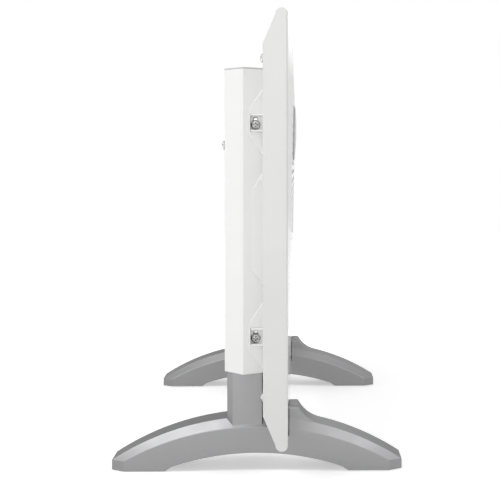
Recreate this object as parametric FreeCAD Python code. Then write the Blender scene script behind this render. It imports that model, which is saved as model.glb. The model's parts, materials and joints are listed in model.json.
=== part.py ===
import FreeCAD, Part
import math
import os

# Radiant panel heater on two arched feet. Millimetres, +X to the front, +Y along the width, +Z up.
# The origin is on the floor, midway between the feet and midway between their front and rear ends.

V = FreeCAD.Vector

# Radiating panel
PANEL_WIDTH = 650.0
PANEL_TOP_Z = 500.0
PANEL_BOTTOM_Z = 39.5
PANEL_BACK_X = 9.0
PANEL_FACE_X = 35.0
SHEET = 1.0
HEM_RADIUS = 6.5
FLANGE_TAPER_HEIGHT = 30.5
FACE_EDGE_RADIUS = 2.5

# Raised field of the panel: rise above the face at three heights, and the width of its sloping ends
FIELD_TOP_MARGIN = 10.0
FIELD_CREST_DROP = 80.0
FIELD_FOOT_Z = 160.0
FIELD_TOP_RAMP = 6.0
FIELD_FOOT_RAMP = 8.0
FIELD_TOP_RISE = 3.7
FIELD_CREST_RISE = 5.2
FIELD_FOOT_RISE = 1.2
FIELD_END_MARGIN = 8.0
FIELD_END_RAMP = 24.0

# Heat slots in the field
SLOT_LENGTH = 38.0
SLOT_WIDTH = 4.5
SLOT_COLUMN_PITCH = 46.0
SLOT_ROW_PITCH = 10.5
SLOT_END_MARGIN = 20.0
SLOT_TOP_MARGIN = 45.0
SLOT_FOOT_MARGIN = 22.0
SLOT_BADGE_GAP = 6.0

# Badge disc, its pegs and their clips
BADGE_DROP = 120.0
BADGE_RADIUS = 37.0
BADGE_RIM = 1.3
BADGE_DOME = 2.0
PEG_RADIUS = 1.5
PEG_LENGTH = 5.0
PEG_OFFSET = 20.0
PEG_CLEARANCE = 0.1
CLIP_RADIUS = 6.0
CLIP_THICKNESS = 1.0

# Plate that closes the panel, the tabs it rests on and its windows
PLATE_FIT = 0.5
PLATE_MARGIN_Z = 1.0
TAB_WIDTH = 36.0
TAB_HEIGHT = 20.0
TAB_THICKNESS = 1.2
PLATE_SCREW_END_MARGIN = 25.0
PLATE_SCREW_FOOT_MARGIN = 14.5
PLATE_SCREW_TOP_MARGIN = 13.0
PLATE_SCREW_LENGTH = 8.0
WINDOW_INNER_Y = 12.0
WINDOW_SHIELD_MARGIN = 10.0
WINDOW_RAIL_MARGIN = 22.0
WINDOW_BRIDGE = 24.0
WINDOW_CORNER = 8.0

# Screws with pan heads
HEAD_RADIUS = 5.0
HEAD_HEIGHT = 3.7
HEAD_EDGE = 1.3
SHANK_RADIUS = 2.2
SHANK_TIP = 1.5
RECESS_LENGTH = 5.0
RECESS_WIDTH = 1.4
RECESS_DEPTH = 2.1
HOLE_CLEARANCE = 0.15
WASHER_RADIUS = 5.2
WASHER_THICKNESS = 0.8

# Heating elements: mica boards in steel channels, on ceramic standoffs in front of a reflector
CHANNEL_BACK_X = 19.0
CHANNEL_DEPTH = 4.0
CHANNEL_WALL = 1.0
CHANNEL_HEIGHT = 12.0
RAIL_FOOT_MARGIN = 25.5
RAIL_TOP_MARGIN = 13.0
RAIL_END_MARGIN = 28.0
END_CHANNEL_WIDTH = 8.0
CENTER_BAR_WIDTH = 14.0
CENTER_WEB = 6.0
BOARD_THICKNESS = 1.6
BOARD_FIT = 0.3
RIBBON_THICKNESS = 0.4
RIBBON_WIDTH = 7.0
RIBBON_PITCH = 20.0
RIBBON_FOOT_MARGIN = 44.0
RIBBON_TOP_MARGIN = 30.0
RIBBON_INNER_Y = 16.0
RIBBON_END_MARGIN = 15.0
TERMINAL_Y = 22.0
TERMINAL_REACH = 10.0
TERMINAL_RADIUS = 2.0
TERMINAL_HEAD_RADIUS = 3.6
TERMINAL_HEAD = 1.8
TERMINAL_REAR_X = 2.0
TERMINAL_CLEARANCE = 0.1
STANDOFF_RADIUS = 4.0
STANDOFF_WAIST = 2.8
STANDOFF_COLLAR = 2.4
STANDOFF_END_MARGIN = 27.0
STANDOFF_INNER_Y = 90.0
REFLECTOR_X = 12.5
REFLECTOR_THICKNESS = 0.6
REFLECTOR_FIT = 0.2
REFLECTOR_END_MARGIN = 7.0
REFLECTOR_OVERHANG = 4.0
REFLECTOR_TERMINAL_HOLE = 6.0

# Rear casing: its sides fold outwards to a ridge and back in to the rear wall
CASING_LOW_Z = 110.0
CASING_TOP_DROP = 57.0
CASING_BACK_X = -35.3
CASING_RIDGE_X = -14.0
CASING_END_MARGIN = 50.0
CASING_FRONT_FOLD = 14.0
CASING_BACK_FOLD = 22.0
CASING_FLANGE = 26.0
TOP_THICKNESS = 1.7
BOTTOM_THICKNESS = 1.2
VENT_LENGTH = 30.0
VENT_WIDTH = 5.0
VENT_PITCH = 11.0
VENT_END_MARGIN = 19.0
VENT_POST_MARGIN = 15.0
REAR_SLOT_LENGTH = 58.0
REAR_SLOT_WIDTH = 5.0
REAR_SLOT_PITCH_Y = 68.0
REAR_SLOT_PITCH_Z = 12.0
REAR_SLOT_ROWS = 6
REAR_SLOT_END_MARGIN = 50.0
REAR_SLOT_FOOT_MARGIN = 40.0
REAR_SLOT_TOP_MARGIN = 53.0
REAR_SCREW_INSET = 7.0
REAR_SCREW_DROP = 84.0
REAR_SCREW_LENGTH = 9.0

# Flat swells pressed out of the casing's sides, beside the panel: where each starts, how far it stands out
# there, and the shares by which its face falls away to the front and its edges slope
SWELL_STEP = 0.4
SWELL_FALL_SHARE = 0.45
SWELL_EDGE_SHARE = 0.8
SCREW_SWELL_START_X = -8.2
SCREW_SWELL_HALF = 12.3
GRIP_SWELL_START_X = -5.0
GRIP_SWELL_HALF = 42.0

# U-shaped brackets between the panel's plate and the casing, and the threaded plates behind them
BRACKET_FOOT_MARGIN = 40.2
BRACKET_TOP_MARGIN = 60.0
BRACKET_START_X = -6.2
BRACKET_GAP = 15.4
BRACKET_SHEET = 2.0
BRACKET_INSET = 13.0
BRACKET_LIP = 6.6
BRACKET_FIT = 0.15
BRACKET_SLOT_WIDTH = 5.7
BRACKET_SLOT_LENGTH = 13.6
BRACKET_SCREW_X = -0.8
BRACKET_SCREW_DROP = 2.0
BRACKET_SCREW_LENGTH = 8.0
THREAD_PLATE_WIDTH = 12.0
THREAD_PLATE_HEIGHT = 20.0
THREAD_PLATE_THICKNESS = 1.8

# Arched feet
FOOT_INSET = 44.5
FOOT_WIDTH = 53.0
FOOT_LENGTH = 321.0
FOOT_SIDE_LENGTH = 292.0
FOOT_BEVEL = 9.0
FOOT_BASE_Z = 0.6
FOOT_CROWN_Z = 59.0
FOOT_SIDE_CROWN_Z = 49.0
FOOT_END_Z = 11.5
FOOT_SIDE_END_Z = 11.8
FOOT_PAD_START = 101.0
FOOT_STEP = 6.7
FOOT_STEP_Z = 4.6
FOOT_ARCH_Z = 20.4
FOOT_WALL = 3.0
FOOT_CAVITY_HALF = 90.0
FOOT_ROOF = 4.0
FOOT_RIB = 2.5
FOOT_RIB_PLACES = (-62.0, -34.0, 8.0, 40.0, 66.0)
GROOVE_CLEARANCE = 0.4
POST_BACK_X = -33.0
POST_PANEL_GAP = 3.0
POST_INSET = 2.2
POST_BEVEL_X = 6.4
POST_BEVEL_Y = 6.0
POST_TOP_WALL = 4.0
HOOK_TOP_Z = 71.0
HOOK_REACH_X = 70.0
HOOK_CURVE_RADIUS = 38.0
HOOK_CURVE_SINK = 0.05
HOOK_SLOPE_ANGLE = 60.0
HOOK_FRONT_ROUND = 3.0
HOOK_BACK_ROUND = 1.2
HOOK_SIDE_ROUND = 4.0
PAD_LENGTH = 38.0
PAD_WIDTH = 32.0
PAD_THICKNESS = 2.2
PAD_FIT = 0.1
FOOT_SCREW_SPACING = 17.0
FOOT_SCREW_LENGTH = 12.0
NUT_RADIUS = 4.2
NUT_HEIGHT = 3.2

# Control housing on the casing's right side, and what it carries
FASCIA_BACK_X = -30.0
FASCIA_FRONT_X = 4.0
FASCIA_RISE = 80.0
FASCIA_HEIGHT = 138.0
FASCIA_STANDOUT = 4.0
FASCIA_DEPTH = 22.0
FASCIA_WALL = 2.5
FASCIA_FIT = 0.3
FASCIA_CORNER = 3.0
CONTROL_X = -13.0
KNOB_DROP = 28.0
KNOB_RADIUS = 17.0
KNOB_GRIP_RADIUS = 13.5
KNOB_HEIGHT = 14.0
KNOB_SKIRT = 4.0
KNOB_GAP = 1.0
KNOB_TOP_ROUND = 1.2
KNOB_FLUTES = 20
KNOB_FLUTE_RADIUS = 1.1
KNOB_RECESS_RADIUS = 10.0
KNOB_RECESS_DEPTH = 4.0
POINTER_WIDTH = 2.0
POINTER_RISE = 0.8
SHAFT_RADIUS = 3.0
SHAFT_RUNNING_GAP = 0.05
SHAFT_PRESS_GAP = 0.02
SHAFT_BEHIND = 10.0
SHAFT_TOP_GAP = 3.0
THERMOSTAT_WIDTH = 26.0
THERMOSTAT_HEIGHT = 30.0
THERMOSTAT_DEPTH = 20.0
THERMOSTAT_ROUND = 1.5
BUSHING_RADIUS = 4.5
BUSHING_GAP = 0.15
BUSHING_STANDOUT = 3.6
PANEL_NUT_RADIUS = 8.0
PANEL_NUT_HEIGHT = 2.4
FULL_SWITCH_RISE = 56.0
HALF_SWITCH_RISE = 24.0
SWITCH_WIDTH = 14.4
SWITCH_HEIGHT = 20.4
SWITCH_DEPTH = 23.0
SWITCH_WALL = 1.4
SWITCH_BEZEL = 1.8
SWITCH_BEZEL_RISE = 1.6
SWITCH_FLOOR_GAP = 3.0
SWITCH_TAB_LENGTH = 6.0
SWITCH_TAB_WIDTH = 5.0
SWITCH_TAB_THICKNESS = 0.8
ROCKER_HALF_LENGTH = 8.2
ROCKER_SIDE_GAP = 0.3
ROCKER_PIVOT_DEPTH = 1.5
ROCKER_END_RISE = 3.9
ROCKER_MIDDLE_RISE = 2.6
ROCKER_END_DROP = 0.8
ROCKER_BELLY = 4.5
ROCKER_BELLY_HALF = 3.0
ROCKER_TILT = 9.0
ROCKER_PIN_RADIUS = 1.2
ROCKER_PIN_GAP = 0.05
ROCKER_PIN_END_GAP = 0.3
LAMP_RISE = 79.0
LAMP_RADIUS = 3.5
LAMP_BODY_GAP = 0.1
LAMP_BODY_LENGTH = 14.0
LENS_FLANGE_RADIUS = 4.6
LENS_FLANGE = 1.0
LENS_DOME = 1.8
LENS_WALL = 0.6

# Shield between the heated space and the controls, and what is fixed to it
SHIELD_INSET = 60.0
GROMMET_X = -8.0
GROMMET_WIDTH = 18.0
GROMMET_HEIGHT = 8.0
GROMMET_LIP = 1.5
GROMMET_FIT = 0.1
BLOCK_LENGTH = 28.0
BLOCK_WIDTH = 20.0
BLOCK_HEIGHT = 16.0
BLOCK_RISE = 36.0
BLOCK_SCREW_SPACING = 13.0
BLOCK_POLES = 3
BLOCK_GROOVE = 1.2
BLOCK_GROOVE_DEPTH = 4.0
BLOCK_SCREW_RADIUS = 2.2
BLOCK_SCREW_HEAD = 1.4
BLOCK_SCREW_LENGTH = 8.0
BLOCK_HOLE_CLEARANCE = 0.1
GLAND_RISE = 66.0
GLAND_FLANGE_RADIUS = 10.0
GLAND_FLANGE = 2.5
GLAND_BODY_RADIUS = 7.5
GLAND_NECK_RADIUS = 6.0
GLAND_NECK = 9.0
GLAND_INSIDE = 8.0
GLAND_BORE_RADIUS = 3.75
GLAND_FIT = 0.1
CLAMP_LENGTH = 12.0
CLAMP_HEIGHT = 16.0
CLAMP_DEPTH = 16.0
CLAMP_X = -18.0

# Tip-over switch: a pendulum on a pin in a small case
TILT_X = -14.0
TILT_INSET = 34.0
TILT_CASE_DEPTH = 16.0
TILT_INSIDE_WIDTH = 27.0
TILT_INSIDE_HEIGHT = 27.0
TILT_WALL = 1.5
TILT_PIVOT_DROP = 4.0
TILT_PIN_RADIUS = 1.0
TILT_PIN_GAP = 0.06
TILT_ARM_LENGTH = 15.5
TILT_ARM_WIDTH = 4.4
TILT_ARM_THICKNESS = 3.0
TILT_HUB_GAP = 0.4
TILT_WEIGHT_RADIUS = 5.0
TILT_WEIGHT_LENGTH = 9.0

# Thermal cut-out on the rear of the plate
CUTOUT_Y = 120.0
CUTOUT_RADIUS = 8.5
CUTOUT_DEPTH = 8.0
CUTOUT_CAP_RADIUS = 6.5
CUTOUT_CAP = 1.2
CUTOUT_BRACKET_LENGTH = 30.0
CUTOUT_BRACKET_HEIGHT = 19.0
CUTOUT_BRACKET_THICKNESS = 1.2

# Leads
LEAD_RADIUS = 1.1
LEAD_BEND = 6.0
LEAD_BEND_SHARE = 0.8
HEATER_LEADS = 4
LEAD_SPACING = 4.0
LEAD_HOLE_GAP = 0.15
CONTROL_LEAD_REACH = 10.0
CONTROL_LEAD_BEND = 5.0
CONTROL_LEAD_SPACING = 4.0
CONTROL_LEAD_PAIR = 2.8

OVERRUN = 20.0

# Places worked out from the sizes above
PANEL_HALF = PANEL_WIDTH / 2
HEM_X = PANEL_FACE_X - HEM_RADIUS
HEM_TOP_Z = PANEL_TOP_Z - HEM_RADIUS
HEM_BOTTOM_Z = PANEL_BOTTOM_Z + HEM_RADIUS
FLANGE_TOP_Z = HEM_TOP_Z - FLANGE_TAPER_HEIGHT
FLANGE_BOTTOM_Z = HEM_BOTTOM_Z + FLANGE_TAPER_HEIGHT
FIELD_TOP_Z = PANEL_TOP_Z - FIELD_TOP_MARGIN
FIELD_CREST_Z = FIELD_TOP_Z - FIELD_CREST_DROP
BADGE_Z = PANEL_TOP_Z - BADGE_DROP
PLATE_FRONT_X = PANEL_BACK_X + SHEET
PLATE_SCREW_Y = PANEL_HALF - PLATE_SCREW_END_MARGIN
PLATE_SCREW_LOW_Z = FLANGE_BOTTOM_Z + PLATE_SCREW_FOOT_MARGIN
PLATE_SCREW_HIGH_Z = FLANGE_TOP_Z - PLATE_SCREW_TOP_MARGIN
RAIL_LOW_Z = FLANGE_BOTTOM_Z + RAIL_FOOT_MARGIN
RAIL_HIGH_Z = FLANGE_TOP_Z - RAIL_TOP_MARGIN
RAIL_END_Y = PANEL_HALF - RAIL_END_MARGIN
CHANNEL_FRONT_X = CHANNEL_BACK_X + CHANNEL_DEPTH
BOARD_BACK_X = CHANNEL_BACK_X + (CHANNEL_DEPTH - BOARD_THICKNESS) / 2
BOARD_FRONT_X = BOARD_BACK_X + BOARD_THICKNESS
RIBBON_FRONT_X = BOARD_FRONT_X + RIBBON_THICKNESS
CUTOUT_Z = (RAIL_LOW_Z + RAIL_HIGH_Z) / 2
CASING_HIGH_Z = PANEL_TOP_Z - CASING_TOP_DROP
CASING_RIDGE_Y = PANEL_HALF - CASING_END_MARGIN
CASING_FRONT_Y = CASING_RIDGE_Y - CASING_FRONT_FOLD
CASING_BACK_Y = CASING_RIDGE_Y - CASING_BACK_FOLD
CASING_MOUTH_Y = CASING_FRONT_Y - CASING_FLANGE
SHELL_HIGH_Z = CASING_HIGH_Z - TOP_THICKNESS
SHELL_LOW_Z = CASING_LOW_Z + BOTTOM_THICKNESS
BRACKET_LOW_Z = CASING_LOW_Z + BRACKET_FOOT_MARGIN
BRACKET_HIGH_Z = CASING_HIGH_Z - BRACKET_TOP_MARGIN
BRACKET_WEB_Y = CASING_RIDGE_Y - BRACKET_INSET
HOLE_RADIUS = SHANK_RADIUS + HOLE_CLEARANCE
FOOT_CENTER_Y = CASING_RIDGE_Y - FOOT_INSET
RIDGE_HALF = FOOT_WIDTH / 2 - FOOT_BEVEL
POST_HALF = FOOT_WIDTH / 2 - POST_INSET
POST_FRONT_X = PANEL_BACK_X - POST_PANEL_GAP
POST_MIDDLE_X = (POST_BACK_X + POST_FRONT_X) / 2
HOOK_BACK_X = PANEL_FACE_X + GROOVE_CLEARANCE
SHIELD_Y = CASING_RIDGE_Y - SHIELD_INSET
FASCIA_LOW_Z = CASING_LOW_Z + FASCIA_RISE
FASCIA_HIGH_Z = FASCIA_LOW_Z + FASCIA_HEIGHT
FASCIA_Y = CASING_RIDGE_Y + FASCIA_STANDOUT
FASCIA_INSIDE_Y = FASCIA_Y - FASCIA_WALL
KNOB_Z = FASCIA_HIGH_Z - KNOB_DROP
FULL_SWITCH_Z = FASCIA_LOW_Z + FULL_SWITCH_RISE
HALF_SWITCH_Z = FASCIA_LOW_Z + HALF_SWITCH_RISE
LAMP_Z = FASCIA_LOW_Z + LAMP_RISE
ROCKER_PIVOT_Y = FASCIA_Y - ROCKER_PIVOT_DEPTH
BLOCK_Z = CASING_LOW_Z + BLOCK_RISE
GLAND_Y = SHIELD_Y + SHEET + CLAMP_DEPTH
GLAND_Z = CASING_LOW_Z + GLAND_RISE
TILT_CASE_Y = CASING_RIDGE_Y - TILT_INSET
TILT_BASE_Z = SHELL_LOW_Z
TILT_PIVOT_Z = TILT_BASE_Z + TILT_WALL + TILT_INSIDE_HEIGHT - TILT_PIVOT_DROP


def lifted(point, axis, level):
    """A point of a flat outline, set at a level along an axis. Outlines hold (x, z), (x, y) or (y, z)."""
    first, second = point
    places = {"x": V(level, first, second), "y": V(first, level, second), "z": V(first, second, level)}
    return places[axis]


def outline_wire(outline, axis, level):
    """A closed wire through an outline. A pair of points in it is an arc by way of the first of them."""
    edges = []
    here = outline[0]
    for step in [*outline[1:], outline[0]]:
        is_arc = isinstance(step[0], tuple)
        end = step[1] if is_arc else step
        if is_arc:
            arc = Part.Arc(lifted(here, axis, level), lifted(step[0], axis, level), lifted(end, axis, level))
            edges.append(arc.toShape())
        elif (lifted(here, axis, level) - lifted(end, axis, level)).Length > 0:
            edges.append(Part.LineSegment(lifted(here, axis, level), lifted(end, axis, level)).toShape())
        here = end
    return Part.Wire(edges)


def prism(outline, axis, low, high):
    """An outline drawn out along an axis."""
    along = {"x": V(high - low, 0, 0), "y": V(0, high - low, 0), "z": V(0, 0, high - low)}
    return Part.Face(outline_wire(outline, axis, low)).extrude(along[axis])


def block(x, y, z):
    """A box from the low and high place on each axis."""
    return Part.makeBox(x[1] - x[0], y[1] - y[0], z[1] - z[0], V(x[0], y[0], z[0]))


def around(middle, width):
    """The low and high place of a width about its middle."""
    return (middle - width / 2, middle + width / 2)


def fitting(length, pitch):
    """How many places at a pitch fit on a length, counting both ends."""
    return math.floor(length / pitch) + 1


def rod(start, along, radius):
    """A round bar from a start place along a vector."""
    return Part.makeCylinder(radius, along.Length, start, along)


def turned(outline):
    """An outline of (radius, height) points turned about the Z axis."""
    return Part.Face(outline_wire(outline, "y", 0)).revolve(V(0, 0, 0), V(0, 0, 1), 360)


def cap(radius, base, rise):
    """The middle and the top of a spherical cap's outline over a flat base."""
    sphere = (radius ** 2 + rise ** 2) / (2 * rise)
    half_turn = math.asin(radius / sphere) / 2
    middle = (sphere * math.sin(half_turn), base + rise - sphere * (1 - math.cos(half_turn)))
    return middle, (0, base + rise)


def aimed(shape, place, direction):
    """A shape made about the Z axis, turned so that its +Z points along a direction."""
    moved = shape.copy()
    turn = FreeCAD.Placement(place, FreeCAD.Rotation(V(0, 0, 1), direction))
    moved.Placement = turn.multiply(moved.Placement)
    return moved


def other_side(shape):
    """The same shape at the opposite end of the heater."""
    return shape.mirror(V(0, 0, 0), V(0, 1, 0))


def both_sides(shapes):
    """Shapes and their mirror images."""
    return [*shapes, *(other_side(shape) for shape in shapes)]


def group(shapes):
    """Separate solids kept in one node."""
    return Part.makeCompound(shapes)


def stadium(middle, length, width):
    """An outline with round ends, long along its first axis."""
    first, second = middle
    half = (length - width) / 2
    radius = width / 2
    return [
        (first - half, second - radius),
        (first + half, second - radius),
        ((first + half + radius, second), (first + half, second + radius)),
        (first - half, second + radius),
        ((first - half - radius, second), (first - half, second - radius)),
    ]


def swapped(point):
    """A point of an outline with its two places swapped."""
    return (point[1], point[0])


def upright_stadium(middle, length, width):
    """An outline with round ends, long along its second axis."""
    flat = stadium(swapped(middle), length, width)
    return [tuple(swapped(p) for p in step) if isinstance(step[0], tuple) else swapped(step) for step in flat]


def round_corner(before, corner, after, radius):
    """A corner of an outline as an arc: its start, then its middle and end."""
    arms = [V(*end, 0) - V(*corner, 0) for end in (before, after)]
    back, onward = (arm.normalize() for arm in arms)
    half_angle = back.getAngle(onward) / 2
    reach = radius / math.tan(half_angle)
    middle_way = (back + onward).normalize()
    top = middle_way * (radius / math.sin(half_angle) - radius)
    start, middle, end = [(corner[0] + step.x, corner[1] + step.y) for step in (back * reach, top, onward * reach)]
    return [start, (middle, end)]


def rounded(shape, radius, wanted):
    """A shape with the edges that a test picks rounded."""
    return shape.makeFillet(radius, [edge for edge in shape.Edges if wanted(edge)])


def runs_along(edge, axis):
    """Whether a straight edge runs along one axis."""
    if len(edge.Vertexes) != 2:
        return False
    way = edge.Vertexes[1].Point - edge.Vertexes[0].Point
    return isinstance(edge.Curve, (Part.Line, Part.LineSegment)) and abs(way.dot(axis)) > way.Length * 0.999


def pan_screw(length):
    """A pan-head screw along Z: the head above zero and the pointed shank below, with a cross recess."""
    body = turned([
        (0, -length),
        (SHANK_RADIUS - SHANK_TIP / 2, -length),
        (SHANK_RADIUS, SHANK_TIP - length),
        (SHANK_RADIUS, 0),
        (HEAD_RADIUS, 0),
        (HEAD_RADIUS, HEAD_EDGE),
        cap(HEAD_RADIUS, HEAD_EDGE, HEAD_HEIGHT - HEAD_EDGE),
    ])
    depth = (HEAD_HEIGHT - RECESS_DEPTH, HEAD_HEIGHT + RECESS_DEPTH)
    for x_size, y_size in ((RECESS_LENGTH, RECESS_WIDTH), (RECESS_WIDTH, RECESS_LENGTH)):
        body = body.cut(block(around(0, x_size), around(0, y_size), depth))
    return body


def washer(outer, bore, thickness):
    """A flat ring that stands on the XY plane."""
    return turned([(bore, 0), (outer, 0), (outer, thickness), (bore, thickness)])


def hexagon(radius):
    """Corners of a six-sided outline."""
    turns = [math.radians(60 * corner) for corner in range(6)]
    return [(radius * math.cos(turn), radius * math.sin(turn)) for turn in turns]


def hex_nut(radius, bore, height):
    """A nut that stands on the XY plane."""
    body = prism(hexagon(radius), "z", 0, height)
    return body.cut(rod(V(0, 0, -height), V(0, 0, 3 * height), bore))


def lead(points, bend):
    """A round lead along straight runs joined by arcs."""
    edges = []
    here = points[0]
    for before, corner, after in zip(points, points[1:], points[2:]):
        back = (before - corner).normalize()
        onward = (after - corner).normalize()
        middle_way = (back + onward).normalize()
        half_angle = back.getAngle(onward) / 2
        reach = bend / math.tan(half_angle)
        center = corner + middle_way * (bend / math.sin(half_angle))
        enter = corner + back * reach
        leave = corner + onward * reach
        edges.append(Part.LineSegment(here, enter).toShape())
        edges.append(Part.Arc(enter, center - middle_way * bend, leave).toShape())
        here = leave
    edges.append(Part.LineSegment(here, points[-1]).toShape())
    start_way = points[1] - points[0]
    section = Part.Wire(Part.makeCircle(LEAD_RADIUS, points[0], start_way))
    return Part.Wire(edges).makePipeShell([section], True, False)


# Radiating panel


def field_rise(z):
    """How far the raised field stands above the panel's face at a height between its two ramps."""
    heights = (FIELD_FOOT_Z + FIELD_FOOT_RAMP, FIELD_CREST_Z, FIELD_TOP_Z - FIELD_TOP_RAMP)
    rises = (FIELD_FOOT_RISE, FIELD_CREST_RISE, FIELD_TOP_RISE)
    part = 0 if z < FIELD_CREST_Z else 1
    share = (z - heights[part]) / (heights[part + 1] - heights[part])
    return rises[part] + share * (rises[part + 1] - rises[part])


def raised_field():
    """The solid of the raised field, from behind the face to its crest."""
    end_y = PANEL_HALF - FIELD_END_MARGIN
    side = [
        (PANEL_FACE_X - OVERRUN, FIELD_FOOT_Z),
        (PANEL_FACE_X, FIELD_FOOT_Z),
        (PANEL_FACE_X + FIELD_FOOT_RISE, FIELD_FOOT_Z + FIELD_FOOT_RAMP),
        (PANEL_FACE_X + FIELD_CREST_RISE, FIELD_CREST_Z),
        (PANEL_FACE_X + FIELD_TOP_RISE, FIELD_TOP_Z - FIELD_TOP_RAMP),
        (PANEL_FACE_X, FIELD_TOP_Z),
        (PANEL_FACE_X - OVERRUN, FIELD_TOP_Z),
    ]
    crest_x = PANEL_FACE_X + FIELD_CREST_RISE
    plan = [
        (PANEL_FACE_X - OVERRUN, -end_y),
        (PANEL_FACE_X, -end_y),
        (crest_x, FIELD_END_RAMP - end_y),
        (crest_x, end_y - FIELD_END_RAMP),
        (PANEL_FACE_X, end_y),
        (PANEL_FACE_X - OVERRUN, end_y),
    ]
    return prism(side, "y", -end_y, end_y).common(prism(plan, "z", FIELD_FOOT_Z, FIELD_TOP_Z))


def panel_side():
    """The panel's outline from the side."""
    return [
        (PANEL_BACK_X, FLANGE_BOTTOM_Z),
        (PANEL_BACK_X, FLANGE_TOP_Z),
        (HEM_X - HEM_RADIUS, HEM_TOP_Z),
        ((HEM_X, PANEL_TOP_Z), (PANEL_FACE_X, HEM_TOP_Z)),
        (PANEL_FACE_X, HEM_BOTTOM_Z),
        ((HEM_X, PANEL_BOTTOM_Z), (HEM_X - HEM_RADIUS, HEM_BOTTOM_Z)),
    ]


def panel_inside():
    """The outline of the space inside the tray, open to the rear."""
    radius = HEM_RADIUS - SHEET
    behind = PANEL_BACK_X - OVERRUN
    return [
        (behind, HEM_BOTTOM_Z),
        (behind, HEM_TOP_Z),
        (HEM_X - radius, HEM_TOP_Z),
        ((HEM_X, HEM_TOP_Z + radius), (HEM_X + radius, HEM_TOP_Z)),
        (HEM_X + radius, HEM_BOTTOM_Z),
        ((HEM_X, HEM_BOTTOM_Z - radius), (HEM_X - radius, HEM_BOTTOM_Z)),
    ]


def badge_frame():
    """The badge's place on the field, and the way that the field faces there."""
    rise = FIELD_CREST_RISE - FIELD_FOOT_RISE
    run = FIELD_CREST_Z - FIELD_FOOT_Z - FIELD_FOOT_RAMP
    place = V(PANEL_FACE_X + field_rise(BADGE_Z), 0, BADGE_Z)
    return place, V(run, 0, -rise)


def peg_places():
    """Local places of the badge's two pegs."""
    return [V(0, side * PEG_OFFSET, 0) for side in (-1, 1)]


def badge_holes():
    """Cutters for the pegs' holes."""
    reach = PEG_LENGTH + SHEET
    through = V(0, 0, 2 * reach)
    pegs = [rod(place - through / 2, through, PEG_RADIUS + PEG_CLEARANCE) for place in peg_places()]
    return [aimed(peg, *badge_frame()) for peg in pegs]


def heat_slots():
    """Cutters for the slots of the field, with the place of the badge left whole."""
    cutters = []
    clear = BADGE_RADIUS + SLOT_BADGE_GAP
    low_z = FIELD_FOOT_Z + SLOT_FOOT_MARGIN
    end_y = PANEL_HALF - FIELD_END_MARGIN - FIELD_END_RAMP - SLOT_END_MARGIN
    columns = fitting(2 * end_y - SLOT_LENGTH, SLOT_COLUMN_PITCH)
    for column in range(columns):
        y = (column - (columns - 1) / 2) * SLOT_COLUMN_PITCH
        nearest_y = max(abs(y) - SLOT_LENGTH / 2, 0)
        for row in range(fitting(FIELD_TOP_Z - SLOT_TOP_MARGIN - low_z, SLOT_ROW_PITCH)):
            z = low_z + row * SLOT_ROW_PITCH
            if math.hypot(nearest_y, z - BADGE_Z) < clear:
                continue
            outline = stadium((y, z), SLOT_LENGTH, SLOT_WIDTH)
            cutters.append(prism(outline, "x", PANEL_FACE_X - OVERRUN / 2, PANEL_FACE_X + OVERRUN / 2))
    return cutters


def plate_screw_places():
    """Where the closing plate's screws stand, on the rear of the plate."""
    heights = (PLATE_SCREW_LOW_Z, PLATE_SCREW_HIGH_Z)
    return [V(PANEL_BACK_X, side * PLATE_SCREW_Y, z) for side in (-1, 1) for z in heights]


def plate_screw_holes():
    """Cutters for those screws."""
    along = V(PLATE_SCREW_LENGTH, 0, 0)
    return [rod(place - V(SHEET, 0, 0), along, HOLE_RADIUS) for place in plate_screw_places()]


def corner_tabs():
    """Tabs folded in from the side flanges, which the plate rests on."""
    tabs = []
    for z in (PLATE_SCREW_LOW_Z, PLATE_SCREW_HIGH_Z):
        x = (PLATE_FRONT_X, PLATE_FRONT_X + TAB_THICKNESS)
        tabs.append(block(x, (PANEL_HALF - TAB_WIDTH, PANEL_HALF - SHEET / 2), around(z, TAB_HEIGHT)))
    return both_sides(tabs)


def tray_solid(side, half, face_x, corner):
    """A side outline drawn out across the panel, with its upright front corners rounded."""
    bar = prism(side, "y", -half, half)
    heights = (PANEL_BOTTOM_Z - SHEET, PANEL_TOP_Z + SHEET)
    box = block((PANEL_BACK_X - OVERRUN, face_x), (-half, half), heights)

    def is_front_corner(edge):
        """Whether an edge is one of the box's two upright front corners."""
        return runs_along(edge, V(0, 0, 1)) and edge.Vertexes[0].X > PANEL_BACK_X

    return bar.common(rounded(box, corner, is_front_corner))


def front_panel():
    """Pressed tray with rolled edges, side flanges, raised field and slots."""
    outer = tray_solid(panel_side(), PANEL_HALF, PANEL_FACE_X, FACE_EDGE_RADIUS)
    inner = tray_solid(panel_inside(), PANEL_HALF - SHEET, PANEL_FACE_X - SHEET, FACE_EDGE_RADIUS - SHEET)
    field = raised_field()
    behind_field = field.translated(V(-SHEET, 0, 0))
    tray = outer.fuse(field).cut(inner.fuse(behind_field))
    tray = tray.fuse(corner_tabs()).removeSplitter()
    return tray.cut([*heat_slots(), *badge_holes(), *plate_screw_holes()])


def badge():
    """Domed disc with two pegs behind it."""
    dome = cap(BADGE_RADIUS, BADGE_RIM, BADGE_DOME)
    disc = turned([(0, 0), (BADGE_RADIUS, 0), (BADGE_RADIUS, BADGE_RIM), dome])
    pegs = [rod(place, V(0, 0, -PEG_LENGTH), PEG_RADIUS) for place in peg_places()]
    return aimed(disc.fuse(pegs), *badge_frame())


def badge_clips():
    """Rings pushed onto the pegs from behind."""
    ring = washer(CLIP_RADIUS, PEG_RADIUS + PEG_CLEARANCE / 2, CLIP_THICKNESS)
    drop = V(0, 0, -SHEET - CLIP_THICKNESS)
    return group([aimed(ring.translated(place + drop), *badge_frame()) for place in peg_places()])


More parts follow.
